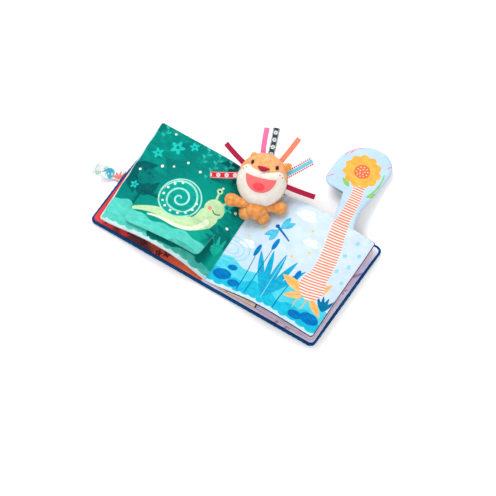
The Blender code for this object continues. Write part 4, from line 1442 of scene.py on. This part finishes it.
headTurn = Matrix.Translation((-0.0034, 0.0819, 0.0505)) @ Euler(
    (math.radians(20), 0, math.radians(16)), "XYZ").to_matrix().to_4x4()
head = {
    "a": 0.039,
    "b": 0.042,
    "c": 0.026,
    "seam": 0.0126,          # height of the seam between crown and muzzle
    "seamRoll": 0.0032,      # how far a plush piece rolls in at its seam
    "cheeks": 0.0028,
    "nose": 0.0142,
    "mouth": (0.0240, 0.0045, 0.0035, 0.0260),  # half width, top, dip, depth
    "tongue": (0, -0.0125, 0.0095, 0.0060),
    "eye": (0.0195, 0.0225, 0.0024, 0.0036),
}


def toWorld(points, frameMatrix=headTurn):
    turn = np.array(frameMatrix.to_3x3())
    return points @ turn.T + np.array(frameMatrix.translation)


def muzzleEdge(x):
    # top edge of the white muzzle: a round cheek on either side of the nose
    side = np.abs(x) / head["a"]
    return head["seam"] + 0.0058 * np.exp(-((side - 0.66) / 0.22) ** 2) - 0.008 * ease((side - 0.80) / 0.2)


def cheekBulge(x, y):
    total = 0
    for side in (-1, 1):
        away = -((x - side * 0.0185) / 0.013) ** 2 - ((y - 0.0065) / 0.010) ** 2
        total = total + head["cheeks"] * np.exp(away)
    return total


def makeHeadPiece(name, region, segments=220, rings=120):
    # region gives how far a point lies inside this plush piece, in metres
    piece = newBall(name, segments, rings)
    ball = getPoints(piece)
    sizes = np.array([head["a"], head["b"], head["c"]])
    points = ball * sizes
    inside = region(points)
    roll = head["seamRoll"]
    shrink = np.where(inside > 0, 0.0, 0.45 * ease(-inside / 0.010))
    dip = roll * 0.45 * np.exp(-(np.maximum(inside, 0) / roll) ** 1.2)
    length = np.linalg.norm(points, axis=1)
    points *= (1 - shrink - dip / length)[:, None]
    return piece, points, inside


pileLook = {
    "perArea": 2.6e6,        # tufts to a square metre
    "length": 0.0010,
    "width": 0.00016,
    "lean": 0.6,
}


def growPile(piece, inside=None, seed=1):
    # short plush tufts: closed three-sided spikes, rooted in the cloth and brushed one way;
    # inside is positive where this piece shows
    mesh = piece.data
    shown = np.ones(len(mesh.vertices)) if inside is None else inside > -0.0005
    mesh.calc_loop_triangles()
    corners = np.empty(len(mesh.loop_triangles) * 3, dtype=int)
    mesh.loop_triangles.foreach_get("vertices", corners)
    corners = corners.reshape(-1, 3)
    a, b, c = (getPoints(piece)[corners[:, i]] for i in range(3))
    normal = np.cross(b - a, c - a)
    size = np.linalg.norm(normal, axis=1)
    chance = size * shown[corners].min(axis=1)
    rng = np.random.default_rng(seed)
    count = int(chance.sum() / 2 * pileLook["perArea"])
    face = rng.choice(len(size), count, p=chance / chance.sum())
    u, v = rng.random((2, count, 1))
    u, v = np.where(u + v > 1, 1 - u, u), np.where(u + v > 1, 1 - v, v)
    foot = a[face] + u * (b - a)[face] + v * (c - a)[face]
    up = (normal / np.maximum(size, 1e-15)[:, None])[face]
    brushed = np.array((0.35, -0.55, -0.2)) + 0.8 * rng.normal(size=(count, 3))
    way = up + pileLook["lean"] * brushed
    way /= np.linalg.norm(way, axis=1)[:, None]
    first = np.cross(way, rng.normal(size=(count, 3)))
    first /= np.linalg.norm(first, axis=1)[:, None]
    second = np.cross(way, first)
    wide = pileLook["width"] * rng.uniform(0.7, 1.2, (count, 1))
    tall = pileLook["length"] * rng.uniform(0.6, 1.15, (count, 1))
    points = [foot - 0.0002 * up + wide * (math.cos(t) * first + math.sin(t) * second)
              for t in (0, 2 * math.pi / 3, 4 * math.pi / 3)]
    points.append(foot + tall * way)
    points = np.stack(points, axis=1).reshape(-1, 3)
    base = np.arange(count)[:, None] * 4
    faces = np.concatenate([base + np.array(f) for f in ((0, 1, 3), (1, 2, 3), (2, 0, 3), (0, 2, 1))])
    tufts = bpy.data.meshes.new(piece.name + "_pile")
    tufts.vertices.add(len(points))
    tufts.vertices.foreach_set("co", points.ravel())
    tufts.loops.add(faces.size)
    tufts.loops.foreach_set("vertex_index", faces.ravel().astype(np.int32))
    tufts.polygons.add(len(faces))
    tufts.polygons.foreach_set("loop_start", np.arange(0, faces.size, 3, dtype=np.int32))
    tufts.update(calc_edges=True)
    coat = bpy.data.objects.new(piece.name + "_pile", tufts)
    bpy.context.collection.objects.link(coat)
    # the tip layer drives the painted shade at the roots and the painted highlight at the tips
    setLayer(coat, "tip", np.tile((0.15, 0.15, 0.15, 1.0), count))
    setLayer(piece, "tip", np.zeros(len(mesh.vertices)))
    pick(coat)
    bpy.ops.object.shade_smooth()
    piece.select_set(True)
    bpy.context.view_layer.objects.active = piece
    bpy.ops.object.join()


def finishPlush(piece, points, frameMatrix=headTurn, inside=None):
    setPoints(piece, toWorld(points, frameMatrix))
    roughen(piece, 0.0060, 0.0009)
    roughen(piece, 0.0016, 0.0005)
    smooth(piece, 180)
    growPile(piece, inside)


def backRegion(p):
    return -p[:, 2] + 0.002


def crownRegion(p):
    return np.minimum(p[:, 1] - muzzleEdge(p[:, 0]), p[:, 2] + 0.001)


def muzzleRegion(p):
    return np.minimum(muzzleEdge(p[:, 0]) - p[:, 1], p[:, 2] + 0.001)


plushLook = {"pile": 0.0009, "depth": 0.0004, "roughness": 0.9, "sheen": 0.5, "spots": None}
freckleSpots = ((0.0265, 0.0125), (0.0310, 0.0098), (0.0318, 0.0150))


def freckles(piece):
    # distance to the nearest stitched dot on either cheek
    flat = (getPoints(piece) - np.array(headTurn.translation)) @ np.array(headTurn.to_3x3())
    spots = [np.hypot(flat[:, 0] - side * x, flat[:, 1] - y) for x, y in freckleSpots for side in (-1, 1)]
    return np.minimum.reduce(spots)


def plushMaterial(name, first, second, tint, root, **changes):
    look = {**plushLook, **changes}
    material, tree, shader = newMaterial(name)
    place = objectPlace(tree)
    tufts = noise(tree, place, look["pile"], 3.0, 0.7, 0.5)
    patches = noise(tree, place, 0.0065, 3.0, 0.6)
    # the two tones follow the same noise as the bump: partly colour that differs at random, partly painted
    # shade in the hollows and painted highlight on the raised pile
    blend = maths(tree, "ADD", maths(tree, "MULTIPLY", tufts, 0.4), maths(tree, "MULTIPLY", patches, 0.6))
    colour = twoTone(tree, fade(tree, blend, 0.40, 0.60), first, second)
    # dark between the tufts, pale at their tips: painted shade at the roots and painted highlight at the tips
    rooted = mixColour(tree, 1.0, colour, linear(root), "MULTIPLY")
    tipped = mixColour(tree, 0.35, colour, linear(tint))
    colour = mixColour(tree, fade(tree, layerValue(tree, "tip"), 0.0, 1.0), rooted, tipped)
    if look["spots"]:
        dark = fade(tree, layerValue(tree, "freckles"), 0.0011, 0.0007)
        colour = mixColour(tree, dark, colour, linear(look["spots"]))
    put(tree, shader.inputs["Base Color"], colour)
    setFinish(shader, look["roughness"], look["sheen"], 0.45, tint)
    normal = bump(tree, patches, 0.0012, 0.4)
    put(tree, shader.inputs["Normal"], bump(tree, tufts, look["depth"], 0.8, normal))
    return material


# the last colour is the painted shade at the roots; the one before it is the sheen tint and also the painted
# highlight at the tips
orangePlush = plushMaterial("orange_plush", "#F29E48", "#FFCC8C", "#FFE6C6", "#F4E0C8")
crownPlush = plushMaterial("crown_plush", "#FCB670", "#FFD8A8", "#FFECD4", "#F8E8D8")
creamFleece = plushMaterial("cream_fleece", "#FAF2EC", "#FFFCF8", "#FFFFFF", "#FCF7F2", spots="#6A4A40")
for node, region, material, slot in (
    ("doll_head_back", backRegion, orangePlush, "orange_plush"),
    ("doll_crown", crownRegion, crownPlush, "orange_plush"),
    ("doll_muzzle", muzzleRegion, creamFleece, "white_fleece"),
):
    piece, points, inside = makeHeadPiece(node + "_plush", region)
    x, y, z = points.T
    if node == "doll_muzzle":
        points[:, 2] += cheekBulge(x, y) * ease(inside / 0.004)
        for side in (-1, 1):
            chin = ((x - side * 0.010) / 0.009) ** 2 + ((y + 0.033) / 0.007) ** 2
            points[:, 2] += 0.0022 * np.exp(-chin) * ease(inside / 0.004)
        groove = 0.0014 * np.exp(-((x / 0.0022) ** 2)) * ease((y + 0.004) / 0.004)
        points[:, 2] -= groove * ease(inside / 0.004)
    finishPlush(piece, points, inside=inside)
    if node == "doll_muzzle":
        setLayer(piece, "freckles", freckles(piece))
    dress(piece, material, node, "doll")


def onFace(x, y, lift):
    # a place on the front of the head, lifted off the plush
    z = head["c"] * np.sqrt(np.maximum(1 - (x / head["a"]) ** 2 - (y / head["b"]) ** 2, 0))
    return z + cheekBulge(x, y) * ease((muzzleEdge(x) - y) / 0.004) + lift


def makePatch(name, outline, lift, thick, dome, rings=10):
    # a felt shape sewn on the face, from its outline inwards
    count = len(outline)
    piece = newBall(name, count, 2 * rings)
    around, upward = ballPlaces(piece)
    line = np.array(outline)
    centre = line.mean(axis=0)
    low = np.floor(around * count + 1e-6).astype(int) % count
    scale = np.sin(math.pi * upward) ** 0.5
    flat = centre + (line[low] - centre) * scale[:, None]
    base = onFace(flat[:, 0], flat[:, 1], lift)
    front = upward > 0.5
    z = base + thick * front * np.sqrt(np.clip(1 - scale ** 4, 0, 1)) + dome * front * (1 - scale ** 2)
    return finishRound(piece, toWorld(np.column_stack([flat, z])))


def ovalLine(cx, cy, a, b, count=64, square=1.0):
    turn = np.linspace(0, 2 * math.pi, count, endpoint=False)
    c, s = np.cos(turn), np.sin(turn)
    across = a * np.sign(c) * np.abs(c) ** square
    upright = b * np.sign(s) * np.abs(s) ** square
    return np.column_stack([cx + across, cy + upright])


def noseLine(count=64):
    right = [
        (0, 0.0054), (0.0085, 0.0046), (0.0105, 0.0030),
        (0.0068, 0.0002), (0.0034, -0.0024), (0, -0.0034),
    ]
    ring = np.array(right + [(-x, y) for x, y in right[-2:0:-1]] + right[:1])
    return relaxed(spaced(ring, count), 4)[::-1] + np.array((0, head["nose"]))


def mouthLine(count=64):
    # a wide half oval with a shallow dip in its upper edge
    halfWidth, top, dip, depth = head["mouth"]
    turn = np.linspace(0, 2 * math.pi, count, endpoint=False)
    c, s = np.cos(turn), np.sin(turn)
    y = top + np.where(s > 0, -dip * s, depth * s)
    return relaxed(np.column_stack([halfWidth * np.sign(c) * np.abs(c) ** 0.9, y]), 3)


def eyeLine(side):
    x, y, a, b = head["eye"]
    return ovalLine(side * x, y, a, b, 32)


feltLook = {"fibre": 0.0007}


def feltMaterial(name, first, second, roughness=0.88, sheen=0.3):
    material, tree, shader = newMaterial(name)
    place = objectPlace(tree)
    fibre = noise(tree, place, feltLook["fibre"], 4.0, 0.7, 1.5)
    put(tree, shader.inputs["Base Color"], twoTone(tree, fade(tree, fibre, 0.3, 0.7), first, second))
    setFinish(shader, roughness, sheen)
    put(tree, shader.inputs["Normal"], bump(tree, fibre, 0.0003, 0.6))
    return material


crimsonFelt = feltMaterial("crimson_felt", "#A5152F", "#BE1F40")
coralFelt = feltMaterial("coral_felt", "#F8646A", "#FF7C78")
redFelt = feltMaterial("red_felt", "#F23E4C", "#FF5561")
darkThread = feltMaterial("dark_thread", "#2E161A", "#452126", 0.45, 0.1)
for node, outline, lift, thick, dome, material, slot in (
    ("doll_nose", noseLine(), 0.0012, 0.0010, 0.0022, crimsonFelt, "crimson_felt"),
    ("doll_mouth", mouthLine(), 0.0010, 0.0008, 0.0002, coralFelt, "coral_felt"),
    ("doll_tongue", ovalLine(*head["tongue"]), 0.0018, 0.0008, 0.0006, redFelt, "red_felt"),
    ("doll_eye_left", eyeLine(-1), 0.0006, 0.0008, 0.0010, darkThread, "dark_thread"),
    ("doll_eye_right", eyeLine(1), 0.0006, 0.0008, 0.0010, darkThread, "dark_thread"),
):
    piece = makePatch(node + "_sewn", outline, lift, thick, dome)
    dress(piece, material, node, "doll")


def makeLimb(name, path, radii, flatten=1.0, segments=72, rings=64):
    # a stuffed limb along a bent line, rounded at both ends
    piece = newBall(name, segments, rings)
    around, upward = ballPlaces(piece)
    line = np.array(path)
    run = np.concatenate([[0], np.cumsum(np.linalg.norm(np.diff(line, axis=0), axis=1))])
    first, last = radii[0], radii[-1]
    at = -first + (run[-1] + first + last) * (1 - np.cos(math.pi * upward)) / 2
    within = np.clip(at, 0, run[-1])
    core = np.column_stack([np.interp(within, run, line[:, i]) for i in range(3)])
    over = at - within
    start = (line[1] - line[0]) / np.linalg.norm(line[1] - line[0])
    end = (line[-1] - line[-2]) / np.linalg.norm(line[-1] - line[-2])
    core += np.where(over < 0, over, 0)[:, None] * start + np.where(over > 0, over, 0)[:, None] * end
    size = np.interp(within, run, radii)
    size = np.sqrt(np.maximum(size ** 2 - over ** 2, 0))
    axis = end * 0.5 + start * 0.5
    axis /= np.linalg.norm(axis)
    sideways = np.cross((0, 0, 1), axis)
    if np.linalg.norm(sideways) < 0.1:
        sideways = np.array((1.0, 0, 0))
    sideways /= np.linalg.norm(sideways)
    upright = np.cross(axis, sideways)
    turn = 2 * math.pi * around
    ring = np.cos(turn)[:, None] * sideways + np.sin(turn)[:, None] * upright * flatten
    points = core + ring * size[:, None]
    setPoints(piece, points)
    facesOut(piece)
    roughen(piece, 0.0085, 0.0026)
    roughen(piece, 0.0034, 0.0009)
    roughen(piece, 0.0016, 0.0004)
    smooth(piece, 180)
    growPile(piece)
    return piece


limbs = {
    "doll_torso": {
        "path": ((-0.0005, 0.0530, 0.0335), (0.0052, 0.0475, 0.0330), (0.0110, 0.0420, 0.0325)),
        "radii": (0.0150, 0.0160, 0.0165), "body": "doll", "flatten": 0.95,
    },
    "doll_leg_left": {
        "path": ((0.0050, 0.0385, 0.0300), (0.0015, 0.0345, 0.0292), (-0.0020, 0.0305, 0.0285)),
        "radii": (0.0095, 0.0098, 0.0105), "body": "doll", "flatten": 0.85,
    },
    "doll_leg_right": {
        "path": ((0.0185, 0.0425, 0.0300), (0.0215, 0.0400, 0.0292), (0.0245, 0.0375, 0.0285)),
        "radii": (0.0095, 0.0098, 0.0105), "body": "doll", "flatten": 0.85,
    },
    "doll_arm_left": {
        "path": ((-0.0100, 0.0400, 0.0378), (-0.0180, 0.0365, 0.0394), (-0.0288, 0.0326, 0.0414)),
        "radii": (0.0075, 0.0080, 0.0105), "body": "doll_arm_left", "flatten": 0.85,
    },
    "doll_arm_right": {
        "path": ((0.0245, 0.0545, 0.0334), (0.0310, 0.0575, 0.0344), (0.0403, 0.0613, 0.0360)),
        "radii": (0.0075, 0.0080, 0.0105), "body": "doll_arm_right", "flatten": 0.85,
    },
}
for node, facts in limbs.items():
    piece = makeLimb(node + "_plush", facts["path"], facts["radii"], facts["flatten"])
    dress(piece, orangePlush, node, facts["body"])


ears = {"doll_ear_left": (-32, 0.0300, 0.0385), "doll_ear_right": (49, 0.0300, 0.0450)}


def makeEar(name, angle, root, tip):
    # a flat round ear, hollow in front
    piece = newBall(name, 72, 48)
    ball = getPoints(piece)
    turn = math.radians(angle)
    out = np.array((math.sin(turn), math.cos(turn), 0))
    side = np.array((math.cos(turn), -math.sin(turn), 0))
    length = (tip - root) / 2 + 0.0058
    middle = out * (root + tip) / 2 + np.array((0, 0, 0.0045))
    hollow = 0.0016 * np.exp(-(ball[:, 0] ** 2 + ball[:, 1] ** 2) / 0.22) * (ball[:, 2] > 0)
    depth = ball[:, 2] * 0.0032 - hollow
    points = middle + np.outer(ball[:, 1] * length, out) + np.outer(ball[:, 0] * 0.0068, side)
    points[:, 2] += depth
    finishPlush(piece, points)
    return piece


for node, (angle, root, tip) in ears.items():
    piece = makeEar(node + "_plush", angle, root, tip)
    dress(piece, orangePlush, node, "doll")
print("cloth book: soft toy stuffed")


# woven ribbons round the head, each a strip folded double

# turn at the root and at the tip in degrees, reach and width in metres, finish
ribbons = {
    "ribbon_red_left": (-92.3, -98.0, 0.081, 0.0100, "red_ribbon"),
    "ribbon_crimson_left": (-61.6, -59.2, 0.080, 0.0080, "crimson_ribbon"),
    "ribbon_pink": (-13.4, -9.8, 0.081, 0.0080, "pink_ribbon"),
    "ribbon_navy": (5.2, 0.6, 0.083, 0.0100, "navy_ribbon"),
    "ribbon_coral": (31.5, 26.8, 0.085, 0.0080, "coral_ribbon"),
    "ribbon_striped": (64.7, 54.5, 0.082, 0.0130, "striped_ribbon"),
    "ribbon_crimson_right": (90.4, 93.5, 0.084, 0.0080, "crimson_ribbon"),
}
ribbonStart = 0.036
ribbonGap = 0.00045


def makeRibbon(name, root, tip, reach, width):
    # out along the top layer, round the fold, back along the under layer
    piece = newGrid(name, 150, 16)
    s, t = gridPlaces(piece)
    out = 1 - np.abs(2 * s - 1)
    fold = 0.03
    flat = np.clip(out / (1 - fold), 0, 1)
    layer = np.where(s < 0.5, 1.0, -1.0) * np.cos(math.pi / 2 * np.clip((out - 1 + fold) / fold, 0, 1))
    gap = ribbonGap * (0.8 + 2.2 * ease((flat - 0.35) / 0.6))
    start, end = math.radians(root), math.radians(tip)
    a = ribbonStart * np.array((math.sin(start), math.cos(start)))
    b = reach * np.array((math.sin(end), math.cos(end)))
    along = (b - a) / np.linalg.norm(b - a)
    side = np.array((along[1], -along[0]))
    across = (t - 0.5) * width
    curve = 0.0006 * np.sin(math.pi * flat) * (1 if root > 0 else -1)
    end = out * np.linalg.norm(b - a)
    x = a[0] + along[0] * end + side[0] * (across + curve)
    y = a[1] + along[1] * end + side[1] * (across + curve)
    cup = 0.0003 * (across / width * 2) ** 2
    z = -0.006 * flat ** 2 + layer * gap + cup + 0.0002 * np.sin(flat * 9 + root)
    setPoints(piece, toWorld(np.column_stack([x, y, z])))
    setLayer(piece, "run", end * 1000)
    setLayer(piece, "side", across * 1000)
    addThickness(piece, 0.00035)
    smooth(piece, 60)
    return piece


def cellPlace(tree, run, pitch):
    # place along one repeat of the pattern, from its middle
    cell = maths(tree, "SUBTRACT", maths(tree, "FRACT", maths(tree, "DIVIDE", run, pitch)), 0.5)
    return maths(tree, "MULTIPLY", cell, pitch)


def farFrom(tree, a, b):
    squares = maths(tree, "ADD", maths(tree, "MULTIPLY", a, a), maths(tree, "MULTIPLY", b, b))
    return maths(tree, "SQRT", squares)


def offFrom(tree, value, middle):
    return maths(tree, "ABSOLUTE", maths(tree, "SUBTRACT", value, middle))


def ribbonMaterial(name, ground, shade, motif=None, **facts):
    material, tree, shader = newMaterial(name)
    run, side = layerValue(tree, "run"), layerValue(tree, "side")
    ribs = maths(tree, "SINE", maths(tree, "MULTIPLY", run, 2 * math.pi / 0.62))
    colour = twoTone(tree, fade(tree, ribs, -1, 1), shade, ground)
    offSide = maths(tree, "ABSOLUTE", side)
    if motif == "rosettes":
        # small round woven flowers in a row
        cell = cellPlace(tree, run, facts["pitch"])
        far = farFrom(tree, cell, side)
        petals = maths(tree, "COSINE", maths(tree, "MULTIPLY", maths(tree, "ARCTAN2", cell, side), 6.0))
        edge = maths(tree, "ADD", 3.1, maths(tree, "MULTIPLY", petals, 0.35))
        disk = fade(tree, maths(tree, "SUBTRACT", far, edge), -0.12, 0.12, 1.0, 0.0)
        heart = fade(tree, far, 0.8, 1.0, 1.0, 0.0)
        ring = fade(tree, offFrom(tree, far, 1.75), 0.12, 0.28, 1.0, 0.0)
        line = fade(tree, offFrom(tree, offSide, 4.1), 0.15, 0.3, 1.0, 0.0)
        for cover, paint in ((disk, "#F6F2EC"), (ring, ground), (heart, facts["heart"]), (line, "#F3ECE6")):
            colour = mixColour(tree, cover, colour, linear(paint))
    if motif == "bands":
        # blue middle band between white bands with red dots
        far = farFrom(tree, cellPlace(tree, run, 3.3), maths(tree, "SUBTRACT", offSide, 4.8))
        dots = fade(tree, far, 1.15, 1.35, 1.0, 0.0)
        for cover, paint in ((fade(tree, offSide, 2.9, 3.1), "#F7F4F1"), (dots, "#CC1233")):
            colour = mixColour(tree, cover, colour, linear(paint))
    shine = noise(tree, objectPlace(tree), 0.004, 2.0)
    colour = mixColour(tree, 1.0, colour, fade(tree, shine, 0.3, 0.7, 0.93, 1.04), "MULTIPLY")
    put(tree, shader.inputs["Base Color"], colour)
    setFinish(shader, 0.6, 0.05, 0.4, gloss=0.2)
    put(tree, shader.inputs["Normal"], bump(tree, ribs, 0.00008, 0.6))
    return material


ribbonCloth = {
    name: ribbonMaterial(name, *colours, **pattern)
    for name, colours, pattern in (
        ("red_ribbon", ("#DE2440", "#C01A35"), {"motif": "rosettes", "pitch": 13.0, "heart": "#DE2440"}),
        ("crimson_ribbon", ("#B41040", "#980836"), {}),
        ("pink_ribbon", ("#F478AA", "#E8649C"), {}),
        ("navy_ribbon", ("#24434F", "#1A3440"), {"motif": "rosettes", "pitch": 11.4, "heart": "#24434F"}),
        ("coral_ribbon", ("#FA8F70", "#EE7A5C"), {}),
        ("striped_ribbon", ("#7CCBE0", "#66BBD3"), {"motif": "bands"}),
    )
}
for node, (root, tip, reach, width, slot) in ribbons.items():
    piece = makeRibbon(node + "_woven", root, tip, reach, width)
    dress(piece, ribbonCloth[slot], node, "doll")
print("cloth book: ribbons woven")


# kept solids inside: films, boards and the squeaker

def grainMaterial(name, first, second, grain, depth, strength, roughness, sheen=0.0):
    # grain is the size, detail, roughness and distortion of its noise
    material, tree, shader = newMaterial(name)
    spread = noise(tree, objectPlace(tree), *grain)
    put(tree, shader.inputs["Base Color"], twoTone(tree, spread, first, second))
    setFinish(shader, roughness, sheen)
    put(tree, shader.inputs["Normal"], bump(tree, spread, depth, strength))
    return material


softBoard = grainMaterial("soft_board", "#D9D6CE", "#F1EEE7", (0.002, 5.0, 0.7, 0.8), 0.0006, 0.6, 0.95, 0.2)
squeakerPlastic = grainMaterial("squeaker_plastic", "#E9ECEE", "#F6F8F9", (0.0015, 3.0), 0.0001, 0.3, 0.35)
inner = {"film": film, "board": softBoard, "squeaker": squeakerPlastic}
for name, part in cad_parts.items():
    if isinstance(part, bpy.types.Object) and not part.hide_render:
        for word, material in inner.items():
            if word in name:
                part.data.materials.clear()
                part.data.materials.append(material)


# studio: white floor, soft light from the upper left, the photograph's camera

studio = {
    "azimuth": 31.56,
    "elevation": 67.33,
    "distance": 5.68,
    "lens": 268.8,
    "right": 0.0182,
    "up": -0.0184,
    "keyPower": 34,
    "keySize": 1.3,
    "fillPower": 19,
    "world": 0.72,
}


def seenRays(tree):
    # 1 for rays from the camera, a mirror or glass
    rays = tree.nodes.new("ShaderNodeLightPath").outputs
    bright = maths(tree, "MAXIMUM", rays["Is Camera Ray"], rays["Is Glossy Ray"])
    return maths(tree, "MAXIMUM", bright, rays["Is Transmission Ray"])


def makeStudio():
    az, el = math.radians(studio["azimuth"]), math.radians(studio["elevation"])
    toward = Vector((math.sin(az) * math.cos(el), -math.cos(az) * math.cos(el), math.sin(el)))
    right = Vector((math.cos(az), math.sin(az), 0))
    up = toward.cross(right)
    bpy.ops.object.camera_add()
    camera = bpy.context.object
    camera.name = "camera"
    camera.data.lens = studio["lens"]
    camera.data.sensor_width = 36
    camera.data.clip_end = 50
    place = toward * studio["distance"] + right * studio["right"] + up * studio["up"]
    facing = Matrix((right, up, toward)).transposed().to_4x4()
    camera.matrix_world = Matrix.Translation(place) @ facing
    bpy.context.scene.camera = camera

    bpy.ops.mesh.primitive_plane_add(size=8, location=(0, 0, 0))
    floor = named("studio_floor")
    material = bpy.data.materials.new("floor_white")
    material.use_nodes = True
    tree = material.node_tree
    tree.nodes.clear()
    out = tree.nodes.new("ShaderNodeOutputMaterial")
    paint = tree.nodes.new("ShaderNodeBsdfDiffuse")
    floorPaint = mixColour(tree, seenRays(tree), (0.80, 0.80, 0.80, 1), (1.12, 1.12, 1.12, 1))
    tree.links.new(floorPaint, paint.inputs["Color"])
    tree.links.new(paint.outputs[0], out.inputs["Surface"])
    floor.data.materials.append(material)

    world = bpy.data.worlds.new("studio_world")
    bpy.context.scene.world = world
    world.use_nodes = True
    tree = world.node_tree
    tree.nodes.clear()
    out = tree.nodes.new("ShaderNodeOutputWorld")
    sky = tree.nodes.new("ShaderNodeBackground")
    sky.inputs["Color"].default_value = (1, 1, 1, 1)
    lift = maths(tree, "MULTIPLY", seenRays(tree), 1 - studio["world"])
    tree.links.new(maths(tree, "ADD", lift, studio["world"]), sky.inputs["Strength"])
    tree.links.new(sky.outputs[0], out.inputs["Surface"])

    lamps = (
        ("key_light", (-1.2, 0.85, 1.95), studio["keyPower"], studio["keySize"]),
        ("fill_light", (1.5, -1.2, 1.8), studio["fillPower"], 2.2),
    )
    for name, spot, power, size in lamps:
        bpy.ops.object.light_add(type="AREA", location=spot)
        lamp = bpy.context.object
        lamp.name = name
        lamp.data.energy = power
        lamp.data.size = size
        lamp.rotation_euler = (Vector((0, 0, 0.02)) - Vector(spot)).to_track_quat("-Z", "Y").to_euler()


makeStudio()
bpy.context.scene.view_settings.view_transform = "Standard"
print("cloth book: studio set")
